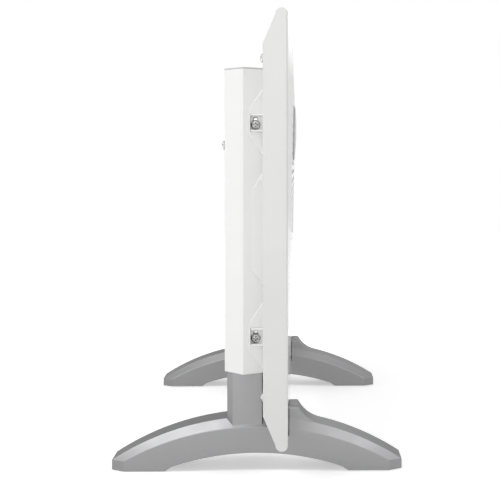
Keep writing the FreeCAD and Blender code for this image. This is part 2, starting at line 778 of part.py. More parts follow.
def plate_windows():
    """Cutters for the openings behind the elements."""
    cutters = []
    low_z = RAIL_LOW_Z + WINDOW_RAIL_MARGIN
    high_z = RAIL_HIGH_Z - WINDOW_RAIL_MARGIN
    height = (high_z - low_z - WINDOW_BRIDGE) / 2
    for z in (low_z, high_z - height):
        x = (PANEL_BACK_X - SHEET, PLATE_FRONT_X + SHEET)
        hole = block(x, (WINDOW_INNER_Y, SHIELD_Y - WINDOW_SHIELD_MARGIN), (z, z + height))
        cutters.append(rounded(hole, WINDOW_CORNER, lambda edge: runs_along(edge, V(1, 0, 0))))
    return both_sides(cutters)


def back_plate():
    """Plate that closes the tray."""
    half = PANEL_HALF - SHEET - PLATE_FIT
    heights = (FLANGE_BOTTOM_Z + PLATE_MARGIN_Z, FLANGE_TOP_Z - PLATE_MARGIN_Z)
    plate = block((PANEL_BACK_X, PLATE_FRONT_X), (-half, half), heights)
    return plate.cut([*plate_windows(), *plate_screw_holes()])


# Heating elements


def channel(y, z, groove_y, groove_z):
    """A steel channel with a groove for the edge of a mica board."""
    body = block((CHANNEL_BACK_X, CHANNEL_FRONT_X), y, z)
    groove = (CHANNEL_BACK_X + CHANNEL_WALL, CHANNEL_FRONT_X - CHANNEL_WALL)
    return body.cut(block(groove, groove_y, groove_z))


def element_rail(z, groove_z):
    """A long channel across the panel."""
    along = (-RAIL_END_Y, RAIL_END_Y)
    return channel(along, z, (-RAIL_END_Y - OVERRUN, RAIL_END_Y + OVERRUN), groove_z)


def upright_heights():
    """Between the two rails."""
    return (RAIL_LOW_Z + CHANNEL_HEIGHT, RAIL_HIGH_Z - CHANNEL_HEIGHT)


def element_center_bar():
    """Upright between the boards, grooved on both sides."""
    half = CENTER_BAR_WIDTH / 2
    low, high = upright_heights()
    web = CENTER_WEB / 2
    groove_z = (low - OVERRUN, high + OVERRUN)
    bar = channel((-half, half), (low, high), (web, half + OVERRUN), groove_z)
    groove = (CHANNEL_BACK_X + CHANNEL_WALL, CHANNEL_FRONT_X - CHANNEL_WALL)
    return bar.cut(block(groove, (-half - OVERRUN, -web), groove_z))


def element_end_channels():
    """Uprights at the outer ends of the boards."""
    low, high = upright_heights()
    inner_y = RAIL_END_Y - END_CHANNEL_WIDTH
    groove_y = (inner_y - OVERRUN, RAIL_END_Y - CHANNEL_WALL)
    groove_z = (low - OVERRUN, high + OVERRUN)
    return group(both_sides([channel((inner_y, RAIL_END_Y), (low, high), groove_y, groove_z)]))


def ribbon_heights():
    """The heights of a ribbon's level rows."""
    low_z = RAIL_LOW_Z + RIBBON_FOOT_MARGIN
    rows = fitting(RAIL_HIGH_Z - RIBBON_TOP_MARGIN - low_z, RIBBON_PITCH)
    return [low_z + row * RIBBON_PITCH for row in range(rows)]


def terminal_places():
    """Places of one board's two terminals in Y and Z, below and above its ribbon."""
    rows = ribbon_heights()
    return [(TERMINAL_Y, rows[0] - TERMINAL_REACH), (TERMINAL_Y, rows[-1] + TERMINAL_REACH)]


def terminal_holes(radius):
    """Cutters about one board's terminals."""
    along = V(CHANNEL_FRONT_X, 0, 0)
    return [rod(V(PANEL_BACK_X, y, z), along, radius) for y, z in terminal_places()]


def element_board():
    """Right-hand mica board."""
    y = (CENTER_WEB / 2 + BOARD_FIT, RAIL_END_Y - CHANNEL_WALL - BOARD_FIT)
    z = (RAIL_LOW_Z + CHANNEL_WALL, RAIL_HIGH_Z - CHANNEL_WALL - BOARD_FIT)
    board = block((BOARD_BACK_X, BOARD_FRONT_X), y, z)
    return board.cut(terminal_holes(TERMINAL_RADIUS + TERMINAL_CLEARANCE))


def element_ribbon():
    """Right-hand resistance ribbon: level rows joined at alternate ends, with a tab at each terminal."""
    x = (BOARD_FRONT_X, RIBBON_FRONT_X)
    outer_y = RAIL_END_Y - RIBBON_END_MARGIN
    rows = ribbon_heights()
    pieces = []
    for row, z in enumerate(rows):
        pieces.append(block(x, (RIBBON_INNER_Y, outer_y), around(z, RIBBON_WIDTH)))
        if z < rows[-1]:
            at_outer_end = row % 2 == 0
            start = outer_y - RIBBON_WIDTH if at_outer_end else RIBBON_INNER_Y
            pieces.append(block(x, (start, start + RIBBON_WIDTH), (z, z + RIBBON_PITCH)))
    reach = TERMINAL_REACH + TERMINAL_HEAD_RADIUS
    for tab in ((rows[0] - reach, rows[0]), (rows[-1], rows[-1] + reach)):
        pieces.append(block(x, around(TERMINAL_Y, 2 * TERMINAL_HEAD_RADIUS), tab))
    ribbon = pieces[0].fuse(pieces[1:]).removeSplitter()
    return ribbon.cut(terminal_holes(TERMINAL_RADIUS + TERMINAL_CLEARANCE))


def element_terminals():
    """Headed studs through the boards, which reach the rear through the plate's windows."""
    studs = []
    for y, z in terminal_places():
        head = rod(V(RIBBON_FRONT_X, y, z), V(TERMINAL_HEAD, 0, 0), TERMINAL_HEAD_RADIUS)
        stud = rod(V(TERMINAL_REAR_X, y, z), V(RIBBON_FRONT_X - TERMINAL_REAR_X, 0, 0), TERMINAL_RADIUS)
        studs.append(head.fuse(stud))
    return group(both_sides(studs))


def standoff_places():
    """Places of the ceramic standoffs in Y and Z."""
    heights = (RAIL_LOW_Z + CHANNEL_HEIGHT / 2, RAIL_HIGH_Z - CHANNEL_HEIGHT / 2)
    outer_y = RAIL_END_Y - STANDOFF_END_MARGIN
    offsets = (-outer_y, -STANDOFF_INNER_Y, STANDOFF_INNER_Y, outer_y)
    return [(y, z) for z in heights for y in offsets]


def element_standoffs():
    """Waisted ceramic spacers from the plate to the rails."""
    length = CHANNEL_BACK_X - PLATE_FRONT_X
    spool = turned([
        (0, 0),
        (STANDOFF_RADIUS, 0),
        (STANDOFF_RADIUS, length - 2 * STANDOFF_COLLAR),
        (STANDOFF_WAIST, length - 2 * STANDOFF_COLLAR),
        (STANDOFF_WAIST, length - STANDOFF_COLLAR),
        (STANDOFF_RADIUS, length - STANDOFF_COLLAR),
        (STANDOFF_RADIUS, length),
        (0, length),
    ])
    return group([aimed(spool, V(PLATE_FRONT_X, y, z), V(1, 0, 0)) for y, z in standoff_places()])


def reflector():
    """Bright sheet threaded over the standoffs."""
    x = (REFLECTOR_X, REFLECTOR_X + REFLECTOR_THICKNESS)
    end_y = RAIL_END_Y - REFLECTOR_END_MARGIN
    sheet = block(x, (-end_y, end_y), (RAIL_LOW_Z - REFLECTOR_OVERHANG, RAIL_HIGH_Z + REFLECTOR_OVERHANG))
    along = V(CHANNEL_BACK_X - PLATE_FRONT_X, 0, 0)
    radius = STANDOFF_RADIUS + REFLECTOR_FIT
    holes = [rod(V(PLATE_FRONT_X, y, z), along, radius) for y, z in standoff_places()]
    return sheet.cut([*holes, *both_sides(terminal_holes(REFLECTOR_TERMINAL_HOLE))])


# Rear casing


def casing_plan():
    """The casing's outline from above."""
    return [
        (PANEL_BACK_X, -CASING_FRONT_Y),
        (CASING_RIDGE_X, -CASING_RIDGE_Y),
        (CASING_BACK_X, -CASING_BACK_Y),
        (CASING_BACK_X, CASING_BACK_Y),
        (CASING_RIDGE_X, CASING_RIDGE_Y),
        (PANEL_BACK_X, CASING_FRONT_Y),
    ]


def side_y(x):
    """Half the casing's width at a place between the ridge and the panel."""
    share = (x - CASING_RIDGE_X) / (PANEL_BACK_X - CASING_RIDGE_X)
    return CASING_RIDGE_Y + share * (CASING_FRONT_Y - CASING_RIDGE_Y)


def swell(start_x, z, half, inset):
    """A flat swell on the right-hand side, drawn in by an inset all round. It widens towards the panel."""
    base_y = CASING_FRONT_Y - 2 * SHEET
    face_y = side_y(start_x) + SWELL_STEP - inset
    high_y = face_y + SWELL_STEP
    front_x = PANEL_BACK_X - inset
    run = front_x - start_x
    outlines = []
    for y in (base_y, high_y):
        spread = (face_y - y) * SWELL_EDGE_SHARE - inset
        outlines.append(outline_wire([
            (start_x - spread, z - half - spread),
            (front_x + spread, z - half - run - 2 * spread),
            (front_x + spread, z + half + run + 2 * spread),
            (start_x - spread, z + half + spread),
        ], "y", y))
    body = Part.makeLoft(outlines, True, True)
    back_x = CASING_RIDGE_X
    plan = [
        (back_x, base_y),
        (front_x, base_y),
        (front_x, face_y - SWELL_FALL_SHARE * run),
        (back_x, face_y + SWELL_FALL_SHARE * (start_x - back_x)),
    ]
    return body.common(prism(plan, "z", SHELL_LOW_Z, SHELL_HIGH_Z))


def swells(inset):
    """The swells round the brackets on both sides, and the long one on the left-hand side only."""
    around_brackets = [swell(SCREW_SWELL_START_X, z, SCREW_SWELL_HALF, inset) for z in bracket_heights()]
    long_one = swell(GRIP_SWELL_START_X, sum(bracket_heights()) / 2, GRIP_SWELL_HALF, inset)
    return [*both_sides(around_brackets), other_side(long_one)]


def bracket_heights():
    """The heights of the lower and upper brackets."""
    return (BRACKET_LOW_Z, BRACKET_HIGH_Z)


def bracket_cups(grown):
    """Cutters for the squared recesses in which the brackets lie, grown by a sheet's thickness."""
    half = BRACKET_GAP / 2 + BRACKET_SHEET + BRACKET_FIT + grown
    x = (BRACKET_START_X - BRACKET_FIT - grown, PANEL_BACK_X + OVERRUN)
    y = (BRACKET_WEB_Y - grown, CASING_RIDGE_Y + OVERRUN)
    return both_sides([block(x, y, (z - half, z + half)) for z in bracket_heights()])


def bracket_screw_places():
    """Where the bracket screws bear on their washers, on the right-hand side."""
    y = BRACKET_WEB_Y + BRACKET_SHEET
    return [V(BRACKET_SCREW_X, y, z - BRACKET_SCREW_DROP) for z in bracket_heights()]


def bracket_slots(low_y, high_y):
    """Cutters for the upright slots behind the bracket screws."""
    outlines = [upright_stadium((BRACKET_SCREW_X, z), BRACKET_SLOT_LENGTH, BRACKET_SLOT_WIDTH)
                for z in bracket_heights()]
    return [prism(outline, "y", low_y, high_y) for outline in outlines]


def rear_screw_places():
    """Where the rear wall's screws stand."""
    y = CASING_BACK_Y - REAR_SCREW_INSET
    return [V(CASING_BACK_X, side * y, CASING_HIGH_Z - REAR_SCREW_DROP) for side in (-1, 1)]


def rear_slots():
    """Cutters for the two fields of slots in the rear wall."""
    cutters = []
    low_z = CASING_LOW_Z + REAR_SLOT_FOOT_MARGIN
    high_z = CASING_HIGH_Z - REAR_SLOT_TOP_MARGIN - (REAR_SLOT_ROWS - 1) * REAR_SLOT_PITCH_Z
    end_y = CASING_BACK_Y - REAR_SLOT_END_MARGIN
    columns = fitting(2 * end_y - REAR_SLOT_LENGTH, REAR_SLOT_PITCH_Y)
    for base in (low_z, high_z):
        for column in range(columns):
            y = (column - (columns - 1) / 2) * REAR_SLOT_PITCH_Y
            for row in range(REAR_SLOT_ROWS):
                outline = stadium((y, base + row * REAR_SLOT_PITCH_Z), REAR_SLOT_LENGTH, REAR_SLOT_WIDTH)
                cutters.append(prism(outline, "x", CASING_BACK_X - SHEET, CASING_BACK_X + 2 * SHEET))
    return cutters


def fascia_hole():
    """Cutter for the control housing's hole in the right-hand side."""
    x = (FASCIA_BACK_X - FASCIA_FIT, FASCIA_FRONT_X + FASCIA_FIT)
    z = (FASCIA_LOW_Z - FASCIA_FIT, FASCIA_HIGH_Z + FASCIA_FIT)
    return block(x, (CASING_MOUTH_Y, FASCIA_Y + OVERRUN), z)


def casing_shell():
    """Rear wall, folded sides and the narrow flanges that meet the panel's plate."""
    outer = prism(casing_plan(), "z", SHELL_LOW_Z, SHELL_HIGH_Z).fuse(swells(0)).cut(bracket_cups(0))
    low, high = SHELL_LOW_Z - OVERRUN, SHELL_HIGH_Z + OVERRUN
    inner_wire = outline_wire(casing_plan(), "z", low).makeOffset2D(-SHEET, 2)
    inner = Part.Face(inner_wire).extrude(V(0, 0, high - low)).fuse(swells(SHEET)).cut(bracket_cups(SHEET))
    mouth = block(around(PANEL_BACK_X, 2 * OVERRUN), around(0, 2 * CASING_MOUTH_Y), (low, high))
    cup_holes = bracket_slots(BRACKET_WEB_Y - 2 * SHEET, BRACKET_WEB_Y + SHEET)
    behind = V(SHEET, 0, 0)
    rear_holes = [rod(place - behind, 3 * behind, HOLE_RADIUS) for place in rear_screw_places()]
    gland_place = V(CASING_BACK_X, GLAND_Y, GLAND_Z)
    rear_holes.append(rod(gland_place - behind, 3 * behind, GLAND_BODY_RADIUS + GLAND_FIT))
    return outer.cut([inner, mouth, fascia_hole(), *both_sides(cup_holes), *rear_holes, *rear_slots()])


def vents(end_y, low, high):
    """Cutters for a row of slots across a level plate of the casing."""
    middle_x = (PANEL_BACK_X + CASING_BACK_X) / 2
    count = fitting(2 * end_y, VENT_PITCH)
    cutters = []
    for vent in range(count):
        y = (vent - (count - 1) / 2) * VENT_PITCH
        cutters.append(prism(stadium((middle_x, y), VENT_LENGTH, VENT_WIDTH), "z", low - SHEET, high + SHEET))
    return cutters


def casing_top():
    """Slotted grille over the casing."""
    plate = prism(casing_plan(), "z", SHELL_HIGH_Z, CASING_HIGH_Z)
    return plate.cut(vents(CASING_BACK_Y - VENT_END_MARGIN, SHELL_HIGH_Z, CASING_HIGH_Z))


def casing_bottom():
    """Slotted plate under the casing, on which the feet are screwed."""
    plate = prism(casing_plan(), "z", CASING_LOW_Z, SHELL_LOW_Z)
    holes = [rod(place - V(0, 0, SHEET), V(0, 0, OVERRUN), HOLE_RADIUS) for place in foot_screw_places()]
    end_y = FOOT_CENTER_Y - POST_HALF - VENT_POST_MARGIN
    return plate.cut([*holes, *vents(end_y, CASING_LOW_Z, SHELL_LOW_Z)])


def side_brackets():
    """Brackets: web with an upright slot, two lips, and an end against the panel's plate."""
    half = BRACKET_GAP / 2 + BRACKET_SHEET
    web_outer_y = BRACKET_WEB_Y + BRACKET_SHEET
    outer_y = web_outer_y + BRACKET_LIP
    hollow_x = (BRACKET_START_X - SHEET, PANEL_BACK_X - BRACKET_SHEET)
    slots = bracket_slots(BRACKET_WEB_Y - SHEET, web_outer_y + SHEET)
    brackets = []
    for z in bracket_heights():
        body = block((BRACKET_START_X, PANEL_BACK_X), (BRACKET_WEB_Y, outer_y), (z - half, z + half))
        hollow = block(hollow_x, (web_outer_y, outer_y + SHEET), around(z, BRACKET_GAP))
        brackets.append(body.cut([hollow, *slots]))
    return group(both_sides(brackets))


def bracket_thread_plates():
    """Threaded plates inside the casing, behind the brackets' slots."""
    y = (BRACKET_WEB_Y - SHEET - THREAD_PLATE_THICKNESS, BRACKET_WEB_Y - SHEET)
    along = V(0, -BRACKET_SCREW_LENGTH, 0)
    plates = []
    for z, place in zip(bracket_heights(), bracket_screw_places()):
        plate = block(around(BRACKET_SCREW_X, THREAD_PLATE_WIDTH), y, around(z, THREAD_PLATE_HEIGHT))
        plates.append(plate.cut(rod(place, along, HOLE_RADIUS)))
    return group(both_sides(plates))


def bracket_washers():
    """Washers under the bracket screws."""
    ring = washer(WASHER_RADIUS, HOLE_RADIUS, WASHER_THICKNESS)
    return group(both_sides([aimed(ring, place, V(0, 1, 0)) for place in bracket_screw_places()]))


def bracket_screws():
    """Screws through the brackets' slots."""
    screw = pan_screw(BRACKET_SCREW_LENGTH)
    lift = V(0, WASHER_THICKNESS, 0)
    return group(both_sides([aimed(screw, place + lift, V(0, 1, 0)) for place in bracket_screw_places()]))


# Feet


def foot_outline(half_length, end_z, crown_z):
    """A foot's outline from the side: pads, steps and arch below, one long curve above."""
    arch_start = FOOT_PAD_START - FOOT_STEP
    step_z = FOOT_BASE_Z + FOOT_STEP_Z
    return [
        (-half_length, FOOT_BASE_Z),
        (-FOOT_PAD_START, FOOT_BASE_Z),
        (-arch_start, step_z),
        ((0, FOOT_ARCH_Z), (arch_start, step_z)),
        (FOOT_PAD_START, FOOT_BASE_Z),
        (half_length, FOOT_BASE_Z),
        (half_length, end_z),
        ((0, crown_z), (-half_length, end_z)),
    ]


def foot_beam():
    """The arched beam: upright sides, a bevel along both upper edges and bevelled ends."""
    side = foot_outline(FOOT_SIDE_LENGTH / 2, FOOT_SIDE_END_Z, FOOT_SIDE_CROWN_Z)
    ridge = foot_outline(FOOT_LENGTH / 2, FOOT_END_Z, FOOT_CROWN_Z)
    half = FOOT_WIDTH / 2
    levels = [(-half, side), (FOOT_BEVEL - half, ridge), (half - FOOT_BEVEL, ridge), (half, side)]
    return Part.makeLoft([outline_wire(outline, "y", level) for level, outline in levels], True, True)


def foot_post():
    """The post behind the panel, with its rear corners bevelled."""
    bevel_x = POST_BACK_X + POST_BEVEL_X
    bevel_y = POST_HALF - POST_BEVEL_Y
    plan = [
        (POST_FRONT_X, -POST_HALF),
        (POST_FRONT_X, POST_HALF),
        (bevel_x, POST_HALF),
        (POST_BACK_X, bevel_y),
        (POST_BACK_X, -bevel_y),
        (bevel_x, -POST_HALF),
    ]
    return prism(plan, "z", FOOT_ARCH_Z + FOOT_WALL, CASING_LOW_Z)


def foot_hook():
    """The hook in front of the panel, as wide as the beam's top, which runs out in a hollow curve."""
    base_z = FOOT_ARCH_Z + FOOT_WALL
    rise = FOOT_CROWN_Z - FOOT_END_Z
    beam_radius = ((FOOT_LENGTH / 2) ** 2 + rise ** 2) / (2 * rise)
    reach_angle = math.asin(HOOK_REACH_X / beam_radius)
    apart = beam_radius + HOOK_CURVE_RADIUS - HOOK_CURVE_SINK
    center_x = apart * math.sin(reach_angle)
    center_z = FOOT_CROWN_Z - beam_radius + apart * math.cos(reach_angle)

    def on_curve(turn):
        """A place on the hollow curve in front of the hook."""
        return (center_x - HOOK_CURVE_RADIUS * math.sin(turn), center_z - HOOK_CURVE_RADIUS * math.cos(turn))

    slope_angle = math.radians(HOOK_SLOPE_ANGLE)
    curve_top = on_curve(slope_angle)
    top_end_x = curve_top[0] - (HOOK_TOP_Z - curve_top[1]) / math.tan(slope_angle)
    back_base, back_top = (HOOK_BACK_X, base_z), (HOOK_BACK_X, HOOK_TOP_Z)
    front_top = (top_end_x, HOOK_TOP_Z)
    side = [
        back_base,
        *round_corner(back_base, back_top, front_top, HOOK_BACK_ROUND),
        *round_corner(back_top, front_top, curve_top, HOOK_FRONT_ROUND),
        curve_top,
        (on_curve((slope_angle + reach_angle) / 2), on_curve(reach_angle)),
        (on_curve(reach_angle)[0], base_z),
    ]
    low_corners = [(-RIDGE_HALF, base_z), (RIDGE_HALF, base_z)]
    high_corners = [(RIDGE_HALF, HOOK_TOP_Z), (-RIDGE_HALF, HOOK_TOP_Z)]
    front = [
        *low_corners,
        *round_corner(low_corners[1], *high_corners, HOOK_SIDE_ROUND),
        *round_corner(*high_corners, low_corners[0], HOOK_SIDE_ROUND),
    ]
    return prism(side, "y", -RIDGE_HALF, RIDGE_HALF).common(prism(front, "x", POST_FRONT_X, 2 * HOOK_REACH_X))


def foot_cavity():
    """The space under the foot's roof and up the post, crossed by ribs."""
    half = FOOT_CAVITY_HALF
    roof_z = FOOT_SIDE_CROWN_Z - FOOT_ROOF
    roof_end_z = FOOT_ARCH_Z
    inside = FOOT_WIDTH / 2 - FOOT_WALL
    side = [(-half, FOOT_BASE_Z - OVERRUN), (half, FOOT_BASE_Z - OVERRUN), (half, roof_end_z),
            ((0, roof_z), (-half, roof_end_z))]
    space = prism(side, "y", -inside, inside)
    floor_z = PANEL_BOTTOM_Z - GROOVE_CLEARANCE - FOOT_WALL
    space = space.cut(block((POST_FRONT_X - FOOT_WALL, HOOK_BACK_X + FOOT_WALL), (-inside, inside),
                            (floor_z, roof_z + OVERRUN)))
    heights = (FOOT_BASE_Z, FOOT_CROWN_Z)
    ribs = [block(around(x, FOOT_RIB), (-inside, inside), heights) for x in FOOT_RIB_PLACES]
    space = space.cut(ribs)
    well_half = POST_HALF - FOOT_WALL
    well_x = (POST_BACK_X + POST_BEVEL_X - FOOT_WALL / 2, POST_FRONT_X - FOOT_WALL)
    well = block(well_x, (-well_half, well_half), (FOOT_BASE_Z, CASING_LOW_Z - POST_TOP_WALL))
    return space.fuse(well)


def panel_groove():
    """Cutters in which the panel's lower edge lies, with a slit in front of it."""
    wire = outline_wire(panel_side(), "y", -FOOT_WIDTH).makeOffset2D(GROOVE_CLEARANCE, 0)
    groove = Part.Face(wire).extrude(V(0, 2 * FOOT_WIDTH, 0))
    heights = (PANEL_BOTTOM_Z - GROOVE_CLEARANCE, HOOK_TOP_Z + OVERRUN)
    return [groove, block((HEM_X, HOOK_BACK_X), (-FOOT_WIDTH, FOOT_WIDTH), heights)]


def pad_ranges():
    """The lengths in X that the pads under one foot take up."""
    middle = (FOOT_PAD_START + FOOT_SIDE_LENGTH / 2) / 2
    return [around(side * middle, PAD_LENGTH) for side in (-1, 1)]


def foot(center_y):
    """One foot: beam, post and hook in one hollow moulding, with recesses for its pads."""
    solid = foot_beam().fuse([foot_post(), foot_hook()]).removeSplitter()
    recess_top = PAD_THICKNESS + PAD_FIT
    recesses = []
    for low, high in pad_ranges():
        x = (low - PAD_FIT, high + PAD_FIT)
        recesses.append(block(x, around(0, PAD_WIDTH + 2 * PAD_FIT), (-OVERRUN, recess_top)))
    solid = solid.cut([foot_cavity(), *panel_groove(), *recesses])
    solid.translate(V(0, center_y, 0))
    below = V(0, 0, -OVERRUN)
    return solid.cut([rod(place, below, HOLE_RADIUS) for place in foot_screw_places()])


def foot_pads():
    """Soft pads in the recesses."""
    pads = []
    for center_y in (-FOOT_CENTER_Y, FOOT_CENTER_Y):
        for x in pad_ranges():
            pads.append(block(x, around(center_y, PAD_WIDTH), (0, PAD_THICKNESS)))
    return group(pads)


def foot_screw_places():
    """Where the feet's screws pass the joint between post and casing."""
    xs = around(POST_MIDDLE_X, FOOT_SCREW_SPACING)
    return [V(x, y, CASING_LOW_Z) for x in xs for y in (-FOOT_CENTER_Y, FOOT_CENTER_Y)]


def foot_screws():
    """Screws driven up inside the posts."""
    screw = pan_screw(FOOT_SCREW_LENGTH)
    drop = V(0, 0, -POST_TOP_WALL)
    return group([aimed(screw, place + drop, V(0, 0, -1)) for place in foot_screw_places()])


def foot_nuts():
    """Nuts on the casing's bottom plate."""
    nut = hex_nut(NUT_RADIUS, HOLE_RADIUS, NUT_HEIGHT)
    return group([nut.translated(place + V(0, 0, BOTTOM_THICKNESS)) for place in foot_screw_places()])


# Controls


def switch_heights():
    """The heights of the two switches."""
    return (HALF_SWITCH_Z, FULL_SWITCH_Z)


def control_fascia():
    """Open box with rounded corners that carries the knob, the switches and the lamp."""
    x = (FASCIA_BACK_X, FASCIA_FRONT_X)
    z = (FASCIA_LOW_Z, FASCIA_HIGH_Z)
    box = block(x, (FASCIA_Y - FASCIA_DEPTH, FASCIA_Y), z)
    box = rounded(box, FASCIA_CORNER / 2, lambda edge: edge.BoundBox.YMin > FASCIA_Y - FASCIA_WALL)
    inside_x = (x[0] + FASCIA_WALL, x[1] - FASCIA_WALL)
    inside_z = (z[0] + FASCIA_WALL, z[1] - FASCIA_WALL)
    box = box.cut(block(inside_x, (FASCIA_Y - FASCIA_DEPTH - OVERRUN, FASCIA_INSIDE_Y), inside_z))
    through = V(0, 2 * OVERRUN, 0)
    bushing = rod(V(CONTROL_X, FASCIA_Y, KNOB_Z) - through / 2, through, BUSHING_RADIUS + BUSHING_GAP)
    lamp = rod(V(CONTROL_X, FASCIA_Y, LAMP_Z) - through / 2, through, LAMP_RADIUS + BUSHING_GAP)
    holes = [bushing, lamp]
    for height in switch_heights():
        hole_x = around(CONTROL_X, SWITCH_WIDTH + 2 * BUSHING_GAP)
        hole_z = around(height, SWITCH_HEIGHT + 2 * BUSHING_GAP)
        holes.append(block(hole_x, (FASCIA_Y - FASCIA_WALL - SHEET, FASCIA_Y + SHEET), hole_z))
    return box.cut(holes)


def thermostat_body():
    """Thermostat behind the fascia, with the threaded bushing that holds it."""
    high_y = FASCIA_INSIDE_Y
    body = block(around(CONTROL_X, THERMOSTAT_WIDTH), (high_y - THERMOSTAT_DEPTH, high_y),
                 around(KNOB_Z, THERMOSTAT_HEIGHT))
    body = rounded(body, THERMOSTAT_ROUND, lambda edge: runs_along(edge, V(0, 1, 0)))
    bushing_end = FASCIA_Y + BUSHING_STANDOUT
    bushing = rod(V(CONTROL_X, high_y - SHEET, KNOB_Z), V(0, bushing_end - high_y + SHEET, 0), BUSHING_RADIUS)
    bore_start = high_y - SHAFT_BEHIND - SHEET
    bore = rod(V(CONTROL_X, bore_start, KNOB_Z), V(0, bushing_end + SHEET - bore_start, 0),
               SHAFT_RADIUS + SHAFT_RUNNING_GAP)
    return body.fuse(bushing).removeSplitter().cut(bore)


def thermostat_nut():
    """Nut that clamps the thermostat to the fascia."""
    nut = hex_nut(PANEL_NUT_RADIUS, BUSHING_RADIUS + BUSHING_GAP / 2, PANEL_NUT_HEIGHT)
    return aimed(nut, V(CONTROL_X, FASCIA_Y, KNOB_Z), V(0, 1, 0))


def knob_top_y():
    """The outer end of the knob."""
    return FASCIA_Y + KNOB_GAP + KNOB_HEIGHT


def thermostat_shaft():
    """Shaft that runs in the bushing and carries the knob."""
    start = FASCIA_INSIDE_Y - SHAFT_BEHIND
    return rod(V(CONTROL_X, start, KNOB_Z), V(0, knob_top_y() - SHAFT_TOP_GAP - start, 0), SHAFT_RADIUS)


def thermostat_knob():
    """Knob with a skirt, a fluted grip and a raised pointer."""
    rim = KNOB_GRIP_RADIUS
    body = turned([
        (0, 0),
        (KNOB_RADIUS, 0),
        (KNOB_RADIUS, KNOB_SKIRT / 2),
        (rim, KNOB_SKIRT),
        (rim, KNOB_HEIGHT - KNOB_TOP_ROUND),
        (rim - KNOB_TOP_ROUND, KNOB_HEIGHT),
        (0, KNOB_HEIGHT),
    ])
    flutes = []
    for flute in range(KNOB_FLUTES):
        turn = 2 * math.pi * (flute + 0.5) / KNOB_FLUTES
        start = V(rim * math.cos(turn), rim * math.sin(turn), KNOB_SKIRT)
        flutes.append(rod(start, V(0, 0, KNOB_HEIGHT), KNOB_FLUTE_RADIUS))
    pointer_z = (KNOB_HEIGHT - KNOB_TOP_ROUND, KNOB_HEIGHT + POINTER_RISE)
    pointer = block(around(0, POINTER_WIDTH), (KNOB_TOP_ROUND - rim, 0), pointer_z)
    recess = rod(V(0, 0, 0), V(0, 0, KNOB_RECESS_DEPTH), KNOB_RECESS_RADIUS)
    bore_radius = SHAFT_RADIUS + SHAFT_PRESS_GAP
    bore = rod(V(0, 0, 0), V(0, 0, KNOB_HEIGHT - SHAFT_TOP_GAP + SHAFT_PRESS_GAP), bore_radius)
    knob = body.cut(flutes).fuse(pointer).removeSplitter().cut([recess, bore])
    return aimed(knob, V(CONTROL_X, FASCIA_Y + KNOB_GAP, KNOB_Z), V(0, 1, 0))


def switch_housing(height):
    """Switch body with a bezel, a pocket for the rocker and two tabs behind."""
    low_y = FASCIA_Y - SWITCH_DEPTH
    body = block(around(CONTROL_X, SWITCH_WIDTH), (low_y, FASCIA_Y), around(height, SWITCH_HEIGHT))
    bezel_y = (FASCIA_Y, FASCIA_Y + SWITCH_BEZEL_RISE)
    bezel = block(around(CONTROL_X, SWITCH_WIDTH + 2 * SWITCH_BEZEL), bezel_y,
                  around(height, SWITCH_HEIGHT + 2 * SWITCH_BEZEL))
    middle_y = sum(bezel_y) / 2
    bezel = rounded(bezel, SWITCH_BEZEL_RISE / 2, lambda edge: edge.BoundBox.YMin > middle_y)
    pocket_x = around(CONTROL_X, SWITCH_WIDTH - 2 * SWITCH_WALL)
    pocket_low = ROCKER_PIVOT_Y - ROCKER_BELLY - SWITCH_FLOOR_GAP
    pocket_z = around(height, SWITCH_HEIGHT - 2 * SWITCH_WALL + 2 * ROCKER_SIDE_GAP)
    pocket = block(pocket_x, (pocket_low, FASCIA_Y + OVERRUN), pocket_z)
    pin_hole_radius = ROCKER_PIN_RADIUS + ROCKER_PIN_GAP
    pin_reach = SWITCH_WIDTH - 2 * ROCKER_PIN_END_GAP
    pin_hole = rod(V(CONTROL_X - pin_reach / 2, ROCKER_PIVOT_Y, height), V(pin_reach, 0, 0), pin_hole_radius)
    tabs = []
    for offset in around(height, SWITCH_HEIGHT / 2):
        tabs.append(block(around(CONTROL_X, SWITCH_TAB_WIDTH), (low_y - SWITCH_TAB_LENGTH, low_y),
                          around(offset, SWITCH_TAB_THICKNESS)))
    return body.fuse([bezel, *tabs]).removeSplitter().cut([pocket, pin_hole])


def rocker(height):
    """Hollow-faced rocker on two side pins, at rest in its off position."""
    end_z = ROCKER_HALF_LENGTH
    side = [
        (ROCKER_END_RISE, end_z),
        (ROCKER_END_DROP, end_z),
        (-ROCKER_BELLY, ROCKER_BELLY_HALF),
        (-ROCKER_BELLY, -ROCKER_BELLY_HALF),
        (ROCKER_END_DROP, -end_z),
        (ROCKER_END_RISE, -end_z),
        ((ROCKER_MIDDLE_RISE, 0), (ROCKER_END_RISE, end_z)),
    ]
    half = SWITCH_WIDTH / 2 - SWITCH_WALL - ROCKER_SIDE_GAP
    body = prism(side, "x", -half, half)
    reach = SWITCH_WIDTH / 2 - 2 * ROCKER_PIN_END_GAP
    pins = rod(V(-reach, 0, 0), V(2 * reach, 0, 0), ROCKER_PIN_RADIUS)
    solid = body.fuse(pins).removeSplitter()
    solid.rotate(V(0, 0, 0), V(1, 0, 0), -ROCKER_TILT)
    solid.translate(V(CONTROL_X, ROCKER_PIVOT_Y, height))
    return solid


